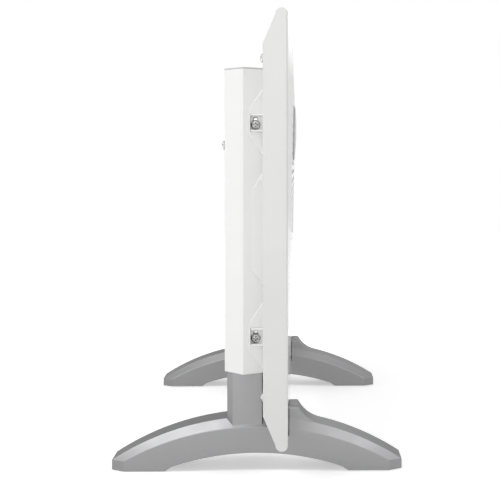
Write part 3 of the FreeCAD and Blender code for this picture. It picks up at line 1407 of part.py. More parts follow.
def indicator_lens():
    """Clear dome with a flange on the fascia and a sleeve through it."""
    sleeve_end = -FASCIA_WALL - SHEET
    lens = turned([
        (0, 0),
        (LAMP_RADIUS - LENS_WALL, 0),
        (LAMP_RADIUS - LENS_WALL, sleeve_end),
        (LAMP_RADIUS, sleeve_end),
        (LAMP_RADIUS, 0),
        (LENS_FLANGE_RADIUS, 0),
        (LENS_FLANGE_RADIUS, LENS_FLANGE),
        (LAMP_RADIUS, LENS_FLANGE),
        cap(LAMP_RADIUS, LENS_FLANGE, LENS_DOME),
    ])
    return aimed(lens, V(CONTROL_X, FASCIA_Y, LAMP_Z), V(0, 1, 0))


def indicator_lamp():
    """Lamp body in the lens's sleeve."""
    radius = LAMP_RADIUS - LENS_WALL - LAMP_BODY_GAP
    start = FASCIA_Y - LAMP_BODY_LENGTH
    return rod(V(CONTROL_X, start, LAMP_Z), V(0, LAMP_BODY_LENGTH - LENS_FLANGE / 2, 0), radius)


def control_shield():
    """Upright sheet between the heated space and the controls."""
    y = (SHIELD_Y, SHIELD_Y + SHEET)
    sheet = block((CASING_BACK_X + SHEET, PANEL_BACK_X), y, (SHELL_LOW_Z, SHELL_HIGH_Z))
    hole = block(around(GROMMET_X, GROMMET_WIDTH), (SHIELD_Y - SHEET, SHIELD_Y + 2 * SHEET),
                 around(KNOB_Z, GROMMET_HEIGHT))
    return sheet.cut(hole)


def lead_xs():
    """The places in X of the heater leads."""
    middle = (HEATER_LEADS - 1) / 2
    return [GROMMET_X + (index - middle) * LEAD_SPACING for index in range(HEATER_LEADS)]


def lead_grommet():
    """Grommet in the shield for the heater leads."""
    core_x = around(GROMMET_X, GROMMET_WIDTH - 2 * GROMMET_FIT)
    core_z = around(KNOB_Z, GROMMET_HEIGHT - 2 * GROMMET_FIT)
    lip_x = around(GROMMET_X, GROMMET_WIDTH + 2 * GROMMET_LIP)
    lip_z = around(KNOB_Z, GROMMET_HEIGHT + 2 * GROMMET_LIP)
    core = block(core_x, (SHIELD_Y - GROMMET_LIP, SHIELD_Y + SHEET + GROMMET_LIP), core_z)
    lips = [
        block(lip_x, (SHIELD_Y - GROMMET_LIP, SHIELD_Y), lip_z),
        block(lip_x, (SHIELD_Y + SHEET, SHIELD_Y + SHEET + GROMMET_LIP), lip_z),
    ]
    along = V(0, 2 * OVERRUN, 0)
    holes = [rod(V(x, SHIELD_Y, KNOB_Z) - along / 2, along, LEAD_RADIUS + LEAD_HOLE_GAP) for x in lead_xs()]
    return core.fuse(lips).removeSplitter().cut(holes)


def heater_leads():
    """Leads from the thermostat through the grommet to the four terminals."""
    start_y = FASCIA_INSIDE_Y - THERMOSTAT_DEPTH
    ends = [(side * y, z) for side in (1, -1) for y, z in terminal_places()]
    leads = []
    for x, (y, z) in zip(lead_xs(), ends):
        route = [V(x, start_y, KNOB_Z), V(x, y, KNOB_Z), V(x, y, z), V(TERMINAL_REAR_X, y, z)]
        bend = min(LEAD_BEND, (TERMINAL_REAR_X - x) * LEAD_BEND_SHARE)
        leads.append(lead(route, bend))
    return group(leads)


def block_pole_ys():
    """The places in Y of the terminal block's poles."""
    pitch = BLOCK_LENGTH / BLOCK_POLES
    start = SHIELD_Y + SHEET
    return [start + (pole + 0.5) * pitch for pole in range(BLOCK_POLES)]


def terminal_block():
    """Block for the mains leads, with grooves between its poles."""
    y = (SHIELD_Y + SHEET, SHIELD_Y + SHEET + BLOCK_LENGTH)
    z = (BLOCK_Z, BLOCK_Z + BLOCK_HEIGHT)
    body = block(around(CONTROL_X, BLOCK_WIDTH), y, z)
    pitch = BLOCK_LENGTH / BLOCK_POLES
    cuts = []
    groove_z = (z[1] - BLOCK_GROOVE_DEPTH, z[1] + SHEET)
    for pole_y in block_pole_ys()[:-1]:
        groove_y = around(pole_y + pitch / 2, BLOCK_GROOVE)
        cuts.append(block(around(CONTROL_X, 2 * BLOCK_WIDTH), groove_y, groove_z))
    for place in block_screw_places():
        cuts.append(rod(place, V(0, 0, -BLOCK_SCREW_LENGTH), BLOCK_SCREW_RADIUS / 2 + BLOCK_HOLE_CLEARANCE))
    return body.cut(cuts)


def block_screw_places():
    """Tops of the terminal block where its screws bear."""
    xs = around(CONTROL_X, BLOCK_SCREW_SPACING)
    return [V(x, y, BLOCK_Z + BLOCK_HEIGHT) for x in xs for y in block_pole_ys()]


def terminal_screws():
    """Slotted screws of the terminal block."""
    screws = []
    for place in block_screw_places():
        head = rod(place, V(0, 0, BLOCK_SCREW_HEAD), BLOCK_SCREW_RADIUS)
        shank = rod(place, V(0, 0, SHEET - BLOCK_SCREW_LENGTH), BLOCK_SCREW_RADIUS / 2)
        slot_z = (place.z + BLOCK_SCREW_HEAD / 2, place.z + 2 * BLOCK_SCREW_HEAD)
        slot = block(around(place.x, 3 * BLOCK_SCREW_RADIUS), around(place.y, BLOCK_SCREW_RADIUS / 3), slot_z)
        screws.append(head.fuse(shank).removeSplitter().cut(slot))
    return group(screws)


def control_leads():
    """Leads from the terminal block up to the tabs of the switches."""
    leads = []
    start_z = BLOCK_Z + BLOCK_HEIGHT
    end_y = FASCIA_Y - SWITCH_DEPTH - SWITCH_TAB_LENGTH
    for lane, height in enumerate(switch_heights()):
        y = end_y - CONTROL_LEAD_REACH - lane * CONTROL_LEAD_SPACING
        for x, z in zip(around(CONTROL_X, CONTROL_LEAD_PAIR), around(height, SWITCH_HEIGHT / 2)):
            leads.append(lead([V(x, y, start_z), V(x, y, z), V(x, end_y, z)], CONTROL_LEAD_BEND))
    return group(leads)


def cord_gland():
    """Hollow bush in the rear wall for the mains cord."""
    inside = SHEET + GLAND_INSIDE
    bush = turned([
        (GLAND_BORE_RADIUS, -GLAND_FLANGE - GLAND_NECK),
        (GLAND_NECK_RADIUS - SHEET, -GLAND_FLANGE - GLAND_NECK),
        (GLAND_NECK_RADIUS, -GLAND_FLANGE),
        (GLAND_FLANGE_RADIUS, -GLAND_FLANGE),
        (GLAND_FLANGE_RADIUS, 0),
        (GLAND_BODY_RADIUS, 0),
        (GLAND_BODY_RADIUS, inside),
        (GLAND_BORE_RADIUS, inside),
    ])
    return aimed(bush, V(CASING_BACK_X, GLAND_Y, GLAND_Z), V(1, 0, 0))


def cord_clamp():
    """Saddle on the shield that grips the cord behind the gland."""
    y = (SHIELD_Y + SHEET, GLAND_Y)
    body = block(around(CLAMP_X, CLAMP_LENGTH), y, around(GLAND_Z, CLAMP_HEIGHT))
    groove = rod(V(CLAMP_X - CLAMP_LENGTH, GLAND_Y, GLAND_Z), V(2 * CLAMP_LENGTH, 0, 0), GLAND_BORE_RADIUS)
    return body.cut(groove)


def tilt_case():
    """Open case of the tip-over switch."""
    width = TILT_INSIDE_WIDTH + 2 * TILT_WALL
    y = (TILT_CASE_Y, TILT_CASE_Y + TILT_CASE_DEPTH - TILT_WALL)
    z = (TILT_BASE_Z, TILT_BASE_Z + TILT_INSIDE_HEIGHT + 2 * TILT_WALL)
    case = block(around(TILT_X, width), y, z)
    hollow_y = (TILT_CASE_Y + TILT_WALL, y[1] + OVERRUN)
    hollow_z = (z[0] + TILT_WALL, z[1] - TILT_WALL)
    hollow = block(around(TILT_X, TILT_INSIDE_WIDTH), hollow_y, hollow_z)
    return case.cut([hollow, tilt_pin_bore(TILT_PIN_GAP)])


def tilt_cover():
    """Lid of the case."""
    width = TILT_INSIDE_WIDTH + 2 * TILT_WALL
    high_y = TILT_CASE_Y + TILT_CASE_DEPTH
    z = (TILT_BASE_Z, TILT_BASE_Z + TILT_INSIDE_HEIGHT + 2 * TILT_WALL)
    return block(around(TILT_X, width), (high_y - TILT_WALL, high_y), z).cut(tilt_pin_bore(TILT_PIN_GAP))


def tilt_pin_bore(gap):
    """A bar on the pendulum's axis, wider than the pin by a gap."""
    start = V(TILT_X, TILT_CASE_Y - SHEET, TILT_PIVOT_Z)
    return rod(start, V(0, TILT_CASE_DEPTH + 2 * SHEET, 0), TILT_PIN_RADIUS + gap)


def tilt_pin():
    """Pin across the case."""
    return rod(V(TILT_X, TILT_CASE_Y, TILT_PIVOT_Z), V(0, TILT_CASE_DEPTH, 0), TILT_PIN_RADIUS)


def tilt_pendulum():
    """Arm and round weight that hang from the pin."""
    middle_y = TILT_CASE_Y + TILT_CASE_DEPTH / 2
    weight_z = TILT_PIVOT_Z - TILT_ARM_LENGTH
    arm_y = around(middle_y, TILT_ARM_THICKNESS)
    arm = block(around(TILT_X, TILT_ARM_WIDTH), arm_y, (weight_z, TILT_PIVOT_Z))
    across = V(0, TILT_CASE_DEPTH - 2 * TILT_WALL - 2 * TILT_HUB_GAP, 0)
    eye = rod(V(TILT_X, middle_y, TILT_PIVOT_Z) - across / 2, across, TILT_ARM_WIDTH / 2)
    weight_along = V(0, TILT_WEIGHT_LENGTH, 0)
    weight = rod(V(TILT_X, middle_y, weight_z) - weight_along / 2, weight_along, TILT_WEIGHT_RADIUS)
    return arm.fuse([eye, weight]).removeSplitter().cut(tilt_pin_bore(TILT_PIN_GAP))


def cutout_bracket():
    """Plate on the panel's rear that carries the thermal cut-out."""
    x = (PANEL_BACK_X - CUTOUT_BRACKET_THICKNESS, PANEL_BACK_X)
    return block(x, around(CUTOUT_Y, CUTOUT_BRACKET_LENGTH), around(CUTOUT_Z, CUTOUT_BRACKET_HEIGHT))


def thermal_cutout():
    """Round cut-out with a smaller cap behind."""
    start = V(PANEL_BACK_X - CUTOUT_BRACKET_THICKNESS, CUTOUT_Y, CUTOUT_Z)
    can = rod(start, V(-CUTOUT_DEPTH, 0, 0), CUTOUT_RADIUS)
    cap = rod(start - V(CUTOUT_DEPTH, 0, 0), V(-CUTOUT_CAP, 0, 0), CUTOUT_CAP_RADIUS)
    return can.fuse(cap).removeSplitter()


def all_parts():
    """Every node of the heater and its shape."""
    board = element_board()
    ribbon = element_ribbon()
    plate_screw = pan_screw(PLATE_SCREW_LENGTH)
    rear_screw = pan_screw(REAR_SCREW_LENGTH)
    rearward = V(-1, 0, 0)
    low_rail = (RAIL_LOW_Z, RAIL_LOW_Z + CHANNEL_HEIGHT)
    high_rail = (RAIL_HIGH_Z - CHANNEL_HEIGHT, RAIL_HIGH_Z)
    return {
        "front_panel": front_panel(),
        "badge": badge(),
        "badge_clips": badge_clips(),
        "back_plate": back_plate(),
        "back_plate_screws": group([aimed(plate_screw, place, rearward) for place in plate_screw_places()]),
        "reflector": reflector(),
        "element_board_right": board,
        "element_board_left": other_side(board),
        "element_ribbon_right": ribbon,
        "element_ribbon_left": other_side(ribbon),
        "element_rail_lower": element_rail(low_rail, (low_rail[0] + CHANNEL_WALL, low_rail[1] + OVERRUN)),
        "element_rail_upper": element_rail(high_rail, (high_rail[0] - OVERRUN, high_rail[1] - CHANNEL_WALL)),
        "element_center_bar": element_center_bar(),
        "element_end_channels": element_end_channels(),
        "element_standoffs": element_standoffs(),
        "element_terminals": element_terminals(),
        "casing_shell": casing_shell(),
        "casing_top": casing_top(),
        "casing_bottom": casing_bottom(),
        "casing_rear_screws": group([aimed(rear_screw, place, rearward) for place in rear_screw_places()]),
        "side_brackets": side_brackets(),
        "bracket_thread_plates": bracket_thread_plates(),
        "bracket_washers": bracket_washers(),
        "bracket_screws": bracket_screws(),
        "foot_left": foot(-FOOT_CENTER_Y),
        "foot_right": foot(FOOT_CENTER_Y),
        "foot_pads": foot_pads(),
        "foot_screws": foot_screws(),
        "foot_nuts": foot_nuts(),
        "control_fascia": control_fascia(),
        "control_shield": control_shield(),
        "thermostat_body": thermostat_body(),
        "thermostat_nut": thermostat_nut(),
        "thermostat_shaft": thermostat_shaft(),
        "thermostat_knob": thermostat_knob(),
        "switch_housing_half": switch_housing(HALF_SWITCH_Z),
        "switch_housing_full": switch_housing(FULL_SWITCH_Z),
        "rocker_half": rocker(HALF_SWITCH_Z),
        "rocker_full": rocker(FULL_SWITCH_Z),
        "indicator_lens": indicator_lens(),
        "indicator_lamp": indicator_lamp(),
        "terminal_block": terminal_block(),
        "terminal_screws": terminal_screws(),
        "control_leads": control_leads(),
        "heater_leads": heater_leads(),
        "lead_grommet": lead_grommet(),
        "cord_gland": cord_gland(),
        "cord_clamp": cord_clamp(),
        "thermal_cutout": thermal_cutout(),
        "cutout_bracket": cutout_bracket(),
        "tilt_case": tilt_case(),
        "tilt_cover": tilt_cover(),
        "tilt_pin": tilt_pin(),
        "tilt_pendulum": tilt_pendulum(),
    }


os.makedirs("parts", exist_ok=True)
for name, shape in all_parts().items():
    valid = "valid" if shape.isValid() else "NOT VALID"
    print(name, len(shape.Solids), "solids", round(shape.Volume), "mm3", valid)
    shape.exportStep("parts/" + name + ".step")
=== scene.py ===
import json
import math

import bmesh
import bpy
from mathutils import Matrix, Vector


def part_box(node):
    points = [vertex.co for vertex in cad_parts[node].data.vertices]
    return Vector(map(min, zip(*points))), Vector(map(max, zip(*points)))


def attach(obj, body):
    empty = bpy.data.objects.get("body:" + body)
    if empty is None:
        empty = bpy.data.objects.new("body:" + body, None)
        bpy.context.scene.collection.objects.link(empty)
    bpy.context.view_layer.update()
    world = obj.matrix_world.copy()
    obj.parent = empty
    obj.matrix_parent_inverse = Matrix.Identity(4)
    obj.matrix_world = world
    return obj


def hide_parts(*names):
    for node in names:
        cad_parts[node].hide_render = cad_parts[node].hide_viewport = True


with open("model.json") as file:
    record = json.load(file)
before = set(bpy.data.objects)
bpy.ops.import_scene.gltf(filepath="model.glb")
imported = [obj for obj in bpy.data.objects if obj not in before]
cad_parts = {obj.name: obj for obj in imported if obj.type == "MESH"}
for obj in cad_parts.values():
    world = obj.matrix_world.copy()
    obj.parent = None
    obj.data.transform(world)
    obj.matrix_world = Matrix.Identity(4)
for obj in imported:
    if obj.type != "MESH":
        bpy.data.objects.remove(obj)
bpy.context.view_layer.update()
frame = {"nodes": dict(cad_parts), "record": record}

# Lengths are in metres, apart from those that are multiplied by this
MM = 0.001

# The camera that was matched with the photograph
CAMERA_PLACE = (0.046, -1.449, 0.3366)
CAMERA_YAW = math.radians(1.132)
CAMERA_PITCH = math.radians(0.762)
CAMERA_LENS = 78.2
CAMERA_SENSOR = 36.0
CAMERA_SHIFT_X = -0.14
CAMERA_SHIFT_Y = -0.14
CAMERA_REACH = 50.0

# The floor. It glows for the camera and in reflections only, and more so away from the object.
FLOOR_SIZE = 8.0
FLOOR_COLOR = (0.8, 0.8, 0.8)
FLOOR_ROUGHNESS = 0.9
FLOOR_SPECULAR = 0.1
FLOOR_GLOW = 0.45
FLOOR_FAR_GLOW = 1.0
FLOOR_NEAR = 0.35
FLOOR_FAR = 1.0

# The light
WORLD_LIGHT = 0.4
LAMP_TARGET = (0.0, -0.1, 0.2)
LAMPS = [
    # name, place, length and width, way of its length, power in watts
    ("key", (-1.08, -0.82, 1.65), (1.7, 0.7), (-1.12, 0.23, -0.58), 17.0),
    ("right", (1.15, -0.75, 1.6), (1.4, 0.7), (1.15, 0.2, -0.7), 8.0),
    ("front", (-0.3, -3.0, 0.8), (3.0, 1.6), (1.0, 0.0, 0.0), 22.0),
    ("front_right", (1.9, -2.2, 0.5), (1.2, 0.9), (1.0, 0.0, 0.0), 4.0),
    ("rear", (0.6, 2.6, 1.6), (1.8, 1.8), (1.0, 0.0, 0.0), 14.0),
]

# How far the hard edges of a piece are rounded off, in millimetres. A node that isn't here keeps its
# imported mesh, apart from foot_right, which takes foot_left's form.
EDGE_RADIUS = {
    "back_plate": 0.3, "casing_top": 0.2, "casing_bottom": 0.35,
    "side_brackets": 0.5, "bracket_screws": 0.22, "bracket_washers": 0.15, "back_plate_screws": 0.22,
    "casing_rear_screws": 0.22, "badge": 0.25, "foot_left": 0.6, "foot_pads": 0.4,
    "foot_screws": 0.22, "thermostat_knob": 0.4, "rocker_half": 0.35, "rocker_full": 0.35,
    "switch_housing_half": 0.4, "switch_housing_full": 0.4, "cord_gland": 0.4, "cord_clamp": 0.4,
    "terminal_block": 0.3, "tilt_case": 0.3, "tilt_cover": 0.3, "thermostat_body": 0.5,
}
EDGE_SEGMENTS = 3
HARD_CORNER = math.radians(28)
FLAT_CORNER = math.radians(0.3)
SAME_CORNER = 0.002 * MM

# The controls, which the print on them is placed by: their line in X, and the knob's axis, foot and skirt.
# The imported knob's foot is at 0.280 in Y, so with this value the ticks stand 6 mm off the skirt.
JOINT_PLACES = {joint["name"]: joint["pos_m"] for joint in frame["record"]["behaviour"]["joints"]}
CONTROL_X = JOINT_PLACES["thermostat_turn"][0]
KNOB_Z = JOINT_PLACES["thermostat_turn"][2]
KNOB_FOOT_Y = 0.286
SKIRT_RADIUS = 0.017
SKIRT_RISE = 0.002
SKIRT_SLOPE = 2.0 / 3.5

# The print: how far it stands out and how thick it is
PRINT_RISE = 0.00006
PRINT_DEPTH = 0.0001

# The scale on the knob, with angles in degrees from straight up and distances from its middle
DIAL_TICKS = 19
DIAL_STEP = -15.0
DIAL_LONG_EVERY = 3
DIAL_OUTER = 0.0165
DIAL_INNER = 0.0141
DIAL_TICK_HALF = 0.00022
POINTER_START = 0.002
POINTER_END = 0.0116
POINTER_HALF = 0.0005

# The marker over the knob
MARKER_RISE = 0.0185
MARKER_HALF = 0.0013

# The signs beside the rockers: a ring round a disc that is filled up to an angle in degrees
FULL_TURN = 360.0
SIGN_FILLED_TO = {"rocker_half": 180.0, "rocker_full": FULL_TURN}
SIGN_STEPS = 24
SIGN_OFFSET = -0.013
SIGN_RADIUS = 0.0018
SIGN_RING_SHARE = 0.8
SIGN_FILL_SHARE = 0.62
SAME_PRINT_CORNER = 0.001 * MM

# The dark strip on the back of each foot's hook, painted shade for the slit between the hook and the panel
SLIT_SHADE_FRONT_X = 0.03534
SLIT_SHADE_BACK_X = 0.03508
SLIT_SHADE_LOW_Z = 0.032
SLIT_SHADE_HIGH_Z = 0.0695
SLIT_SHADE_HALF = 0.012


class Shader:
    """A material under construction: a Principled shader and the nodes that feed it."""

    def __init__(self, name, color, roughness, metallic=0.0):
        self.material = bpy.data.materials.new(name)
        self.material.use_nodes = True
        self.tree = self.material.node_tree
        self.shader = self.tree.nodes["Principled BSDF"]
        self.set("Base Color", (*color, 1.0))
        self.set("Roughness", roughness)
        self.set("Metallic", metallic)
        self.material.diffuse_color = (*color, 1.0)
        self.color = color
        self.roughness = roughness
        self.place = self.node("ShaderNodeTexCoord").outputs["Object"]
        self.bumped = None

    def node(self, kind, **settings):
        """A new node with some of its settings."""
        made = self.tree.nodes.new(kind)
        for key, value in settings.items():
            setattr(made, key, value)
        return made

    def link(self, start, end):
        """Joins an output to an input."""
        self.tree.links.new(start, end)

    def set(self, socket, value):
        """Sets a constant on the Principled shader."""
        self.shader.inputs[socket].default_value = value

    def scaled(self, scale):
        """The place on the object, multiplied by a scale for each axis."""
        mapping = self.node("ShaderNodeMapping")
        mapping.inputs["Scale"].default_value = scale
        self.link(self.place, mapping.inputs["Vector"])
        return mapping.outputs["Vector"]

    def noise(self, size, detail=2.0, stretch=(1.0, 1.0, 1.0)):
        """Noise whose features are about a size across, in metres, longer where stretch is over one."""
        noise = self.node("ShaderNodeTexNoise")
        noise.inputs["Scale"].default_value = 1.0
        noise.inputs["Detail"].default_value = detail
        self.link(self.scaled([1 / (size * way) for way in stretch]), noise.inputs["Vector"])
        return noise.outputs["Fac"]

    def cells(self, size, output="Distance"):
        """Cells about a size across, in metres."""
        cells = self.node("ShaderNodeTexVoronoi")
        cells.inputs["Scale"].default_value = 1.0
        self.link(self.scaled([1 / size] * 3), cells.inputs["Vector"])
        return cells.outputs[output]

    def ranged(self, value, low, high, start=0.3, end=0.7):
        """Goes from low to high as a value goes from start to end."""
        ranged = self.node("ShaderNodeMapRange")
        ranged.inputs["From Min"].default_value = start
        ranged.inputs["From Max"].default_value = end
        ranged.inputs["To Min"].default_value = low
        ranged.inputs["To Max"].default_value = high
        self.link(value, ranged.inputs["Value"])
        return ranged.outputs["Result"]

    def bump(self, height, depth, strength=1.0):
        """Raises the surface by a depth in metres, on top of earlier bumps."""
        bump = self.node("ShaderNodeBump")
        bump.inputs["Distance"].default_value = depth
        bump.inputs["Strength"].default_value = strength
        self.link(height, bump.inputs["Height"])
        if self.bumped:
            self.link(self.bumped, bump.inputs["Normal"])
        self.bumped = bump.outputs["Normal"]
        self.link(self.bumped, self.shader.inputs["Normal"])

    def vary_roughness(self, value, spread):
        """Makes the roughness go up and down by a spread, as a value does."""
        ranged = self.ranged(value, self.roughness - spread, self.roughness + spread)
        self.link(ranged, self.shader.inputs["Roughness"])

    def tint(self, value, other, most=1.0, start=0.3, end=0.7):
        """Mixes the colour towards another, up to the share called most, as a value goes from start to end."""
        mix = self.node("ShaderNodeMix", data_type="RGBA")
        mix.inputs["A"].default_value = (*self.color, 1.0)
        mix.inputs["B"].default_value = (*other, 1.0)
        self.link(self.ranged(value, 0.0, most, start, end), mix.inputs["Factor"])
        self.link(mix.outputs["Result"], self.shader.inputs["Base Color"])

    def paint_recess_shade(self, distance, share):
        """Darkens the colour in narrow hollows, such as a screw's cross, as painted shade where the surface is
        walled in.
        """
        closed = self.node("ShaderNodeAmbientOcclusion", samples=8)
        closed.inputs["Distance"].default_value = distance
        mix = self.node("ShaderNodeMix", data_type="RGBA")
        mix.inputs["A"].default_value = (*shade(self.color, share), 1.0)
        self.link(self.shader.inputs["Base Color"].links[0].from_socket, mix.inputs["B"])
        openness = self.ranged(closed.outputs["AO"], 0.0, 1.0, start=0.6, end=0.95)
        self.link(openness, mix.inputs["Factor"])
        self.link(mix.outputs["Result"], self.shader.inputs["Base Color"])


def shade(color, share):
    """A colour made darker or lighter."""
    return tuple(min(channel * share, 1.0) for channel in color)


def powder_coat(name, color, roughness=0.42, gloss=0.0):
    """Sprayed enamel with a slow drift of tone: under a clear gloss, or satin with a fine peel."""
    made = Shader(name, color, roughness)
    made.set("Coat Weight", gloss)
    made.set("Coat Roughness", 0.05)
    made.tint(made.noise(size=0.11, detail=3.0), shade(color, 0.975))
    made.vary_roughness(made.noise(size=0.03, detail=3.0), spread=0.05)
    if not gloss:
        made.bump(made.noise(size=0.0011), depth=0.00003)
        made.bump(made.noise(size=0.006, detail=1.0), depth=0.00004)
    return made.material


def plastic(name, color, roughness, grain=0.0007, depth=0.00003):
    """Moulded plastic with a fine grain."""
    made = Shader(name, color, roughness)
    made.tint(made.noise(size=0.02, detail=3.0), shade(color, 0.94))
    made.vary_roughness(made.noise(size=0.008, detail=3.0), spread=0.05)
    made.bump(made.noise(size=grain, detail=3.0), depth)
    return made.material


def plated_steel(name, color, roughness):
    """Zinc-plated steel: metal with fine rolling lines, faint clouds and painted shade in its recesses."""
    made = Shader(name, color, roughness, metallic=1.0)
    made.tint(made.noise(size=0.006, detail=4.0), shade(color, 0.85))
    made.vary_roughness(made.noise(size=0.002, detail=4.0), spread=0.1)
    made.bump(made.noise(size=0.0003, stretch=(1.0, 14.0, 1.0)), depth=0.00002)
    # painted shade: the colour darkens in the crosses of the screws and in other hollows
    made.paint_recess_shade(distance=0.0018, share=0.12)
    return made.material


def silver_paint(name, color):
    """Silver lacquer on moulded plastic: fine metal flakes in a satin coat."""
    made = Shader(name, color, roughness=0.35, metallic=0.72)
    flakes = made.cells(size=0.0004, output="Color")
    made.tint(flakes, shade(color, 1.3), most=0.3, start=0.0, end=1.0)
    made.vary_roughness(made.noise(size=0.02, detail=3.0), spread=0.04)
    made.bump(made.noise(size=0.0012), depth=0.000025)
    made.set("Specular IOR Level", 0.2)
    made.set("Specular Tint", (0.3, 0.3, 0.3, 1.0))
    return made.material


def mica(name, color):
    """Pressed mica: pale brown sheet with overlapping bright flakes."""
    made = Shader(name, color, roughness=0.38)
    made.tint(made.cells(size=0.006), (0.66, 0.6, 0.48), start=0.1, end=0.9)
    made.vary_roughness(made.cells(size=0.004), spread=0.12)
    made.bump(made.cells(size=0.004), depth=0.00005)
    return made.material


def rolled_strip(name, color, roughness):
    """Bare rolled metal, streaked along its length, with heat tones."""
    streak = (1.0, 30.0, 1.0)
    red, green, blue = color
    made = Shader(name, color, roughness, metallic=1.0)
    made.tint(made.noise(size=0.015, detail=3.0), (red, green * 0.86, blue * 0.78))
    made.vary_roughness(made.noise(size=0.0006, detail=3.0, stretch=streak), spread=0.12)
    made.bump(made.noise(size=0.0004, stretch=streak), depth=0.00001)
    return made.material


def ceramic(name, color):
    """Glazed steatite with specks."""
    made = Shader(name, color, roughness=0.22)
    made.tint(made.noise(size=0.0012, detail=4.0), (0.7, 0.66, 0.58), start=0.55, end=0.75)
    made.bump(made.noise(size=0.004), depth=0.00005)
    made.set("Coat Weight", 0.6)
    made.set("Coat Roughness", 0.12)
    return made.material


def rubber(name, color):
    """Soft rubber: matt, with a dusty bloom."""
    made = Shader(name, color, roughness=0.78)
    made.tint(made.noise(size=0.01, detail=4.0), shade(color, 1.35))
    made.bump(made.noise(size=0.0006, detail=3.0), depth=0.00005)
    return made.material


def woven_sleeve(name, color):
    """Glass-yarn sleeve: two sets of fine diagonal ribs."""
    ribs_per_metre = 900.0
    made = Shader(name, color, roughness=0.7)
    for way in (1.0, -1.0):
        wave = made.node("ShaderNodeTexWave", bands_direction="DIAGONAL")
        wave.inputs["Scale"].default_value = 1.0
        scale = [ribs_per_metre, ribs_per_metre * way, ribs_per_metre]
        made.link(made.scaled(scale), wave.inputs["Vector"])
        made.bump(wave.outputs["Fac"], depth=0.00012, strength=0.7)
    made.tint(made.noise(size=0.001, detail=3.0), shade(color, 1.4))
    return made.material


def tinted_lens(name, color):
    """Clear tinted plastic."""
    made = Shader(name, color, roughness=0.08)
    made.set("Transmission Weight", 0.85)
    made.set("IOR", 1.49)
    made.bump(made.noise(size=0.002, detail=1.0), depth=0.00002)
    return made.material


def build_materials():
    """The finish of each material slot in the record, and that of the print."""
    return {
        "white_enamel": powder_coat("white_enamel", (0.88, 0.88, 0.875)),
        "panel_enamel": powder_coat("panel_enamel", (0.66, 0.66, 0.655), roughness=0.36, gloss=0.8),
        "plate_enamel": powder_coat("plate_enamel", (0.84, 0.84, 0.83)),
        "gray_enamel": powder_coat("gray_enamel", (0.56, 0.56, 0.56), roughness=0.5),
        "badge_gray": plastic("badge_gray", (0.5, 0.5, 0.505), roughness=0.3, grain=0.002, depth=0.00002),
        "zinc_steel": plated_steel("zinc_steel", (0.6, 0.6, 0.595), roughness=0.24),
        "reflector_aluminium": rolled_strip("reflector_aluminium", (0.84, 0.84, 0.85), roughness=0.2),
        "mica": mica("mica", (0.5, 0.44, 0.34)),
        "heater_ribbon": rolled_strip("heater_ribbon", (0.45, 0.43, 0.41), roughness=0.35),
        "ceramic": ceramic("ceramic", (0.85, 0.83, 0.78)),
        "brass": rolled_strip("brass", (0.78, 0.62, 0.32), roughness=0.28),
        "foot_silver": silver_paint("foot_silver", (0.27, 0.27, 0.274)),
        "pad_rubber": rubber("pad_rubber", (0.1, 0.1, 0.1)),
        "black_plastic": plastic("black_plastic", (0.035, 0.035, 0.036), roughness=0.45),
        "fascia_gray": plastic("fascia_gray", (0.4, 0.4, 0.41), roughness=0.5),
        "knob_gray": plastic("knob_gray", (0.12, 0.12, 0.125), roughness=0.42),
        "rocker_black": plastic("rocker_black", (0.03, 0.03, 0.03), roughness=0.28, grain=0.002,
                                depth=0.00001),
        "lens_amber": tinted_lens("lens_amber", (0.95, 0.5, 0.12)),
        "lamp_glass": plastic("lamp_glass", (0.85, 0.8, 0.7), roughness=0.35),
        "block_white": plastic("block_white", (0.78, 0.77, 0.73), roughness=0.45),
        "print_white": plastic("print_white", (0.82, 0.82, 0.81), roughness=0.5, grain=0.002,
                               depth=0.00001),
        "lead_insulation": woven_sleeve("lead_insulation", (0.55, 0.52, 0.46)),
    }


def body_of(node):
    """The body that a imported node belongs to."""
    bodies = frame["record"]["behaviour"]["bodies"]
    return next(body for body, nodes in bodies.items() if node in nodes)


def add_piece(name, mesh, material, body, slot, *replaced):
    """Puts a new piece on its body, with its finish and the nodes that it stands for."""
    piece = bpy.data.objects.new(name, mesh)
    bpy.context.scene.collection.objects.link(piece)
    mesh.materials.clear()
    mesh.materials.append(material)
    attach(piece, body)
    if replaced:
        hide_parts(*replaced)
    return piece


def fine_copy(node, radius, material, slot):
    """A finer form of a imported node, in its place, with its hard edges rounded off."""
    mesh = frame["nodes"][node].data.copy()
    if "custom_normal" in mesh.attributes:
        mesh.attributes.remove(mesh.attributes["custom_normal"])
    work = bmesh.new()
    work.from_mesh(mesh)
    bmesh.ops.remove_doubles(work, verts=work.verts, dist=SAME_CORNER)
    bmesh.ops.dissolve_limit(work, angle_limit=FLAT_CORNER, verts=work.verts, edges=work.edges)
    weight = work.edges.layers.float.new("bevel_weight_edge")
    for face in work.faces:
        face.smooth = True
    for edge in work.edges:
        hard = len(edge.link_faces) == 2 and edge.calc_face_angle() > HARD_CORNER
        edge[weight] = 1.0 if hard and edge.calc_length() > radius else 0.0
        edge.smooth = not hard
    work.to_mesh(mesh)
    work.free()
    piece = add_piece(node + "_fine", mesh, material, body_of(node), slot, node)
    round_edges(piece, radius)
    return piece


def round_edges(piece, radius):
    """Rounds off the marked edges of a piece."""
    rounding = piece.modifiers.new("rounding", "BEVEL")
    rounding.width = radius
    rounding.segments = EDGE_SEGMENTS
    rounding.limit_method = "WEIGHT"
    rounding.use_clamp_overlap = False
    rounding.harden_normals = True
    rounding.miter_outer = "MITER_ARC"


def second_foot(first, material, slot):
    """The right-hand foot, which has the left-hand one's shape."""
    mesh = first.data.copy()
    move = Vector(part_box("foot_right")[0]) - Vector(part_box("foot_left")[0])
    mesh.transform(Matrix.Translation(move))
    piece = add_piece("foot_right_fine", mesh, material, body_of("foot_right"), slot, "foot_right")
    round_edges(piece, EDGE_RADIUS["foot_left"] * MM)


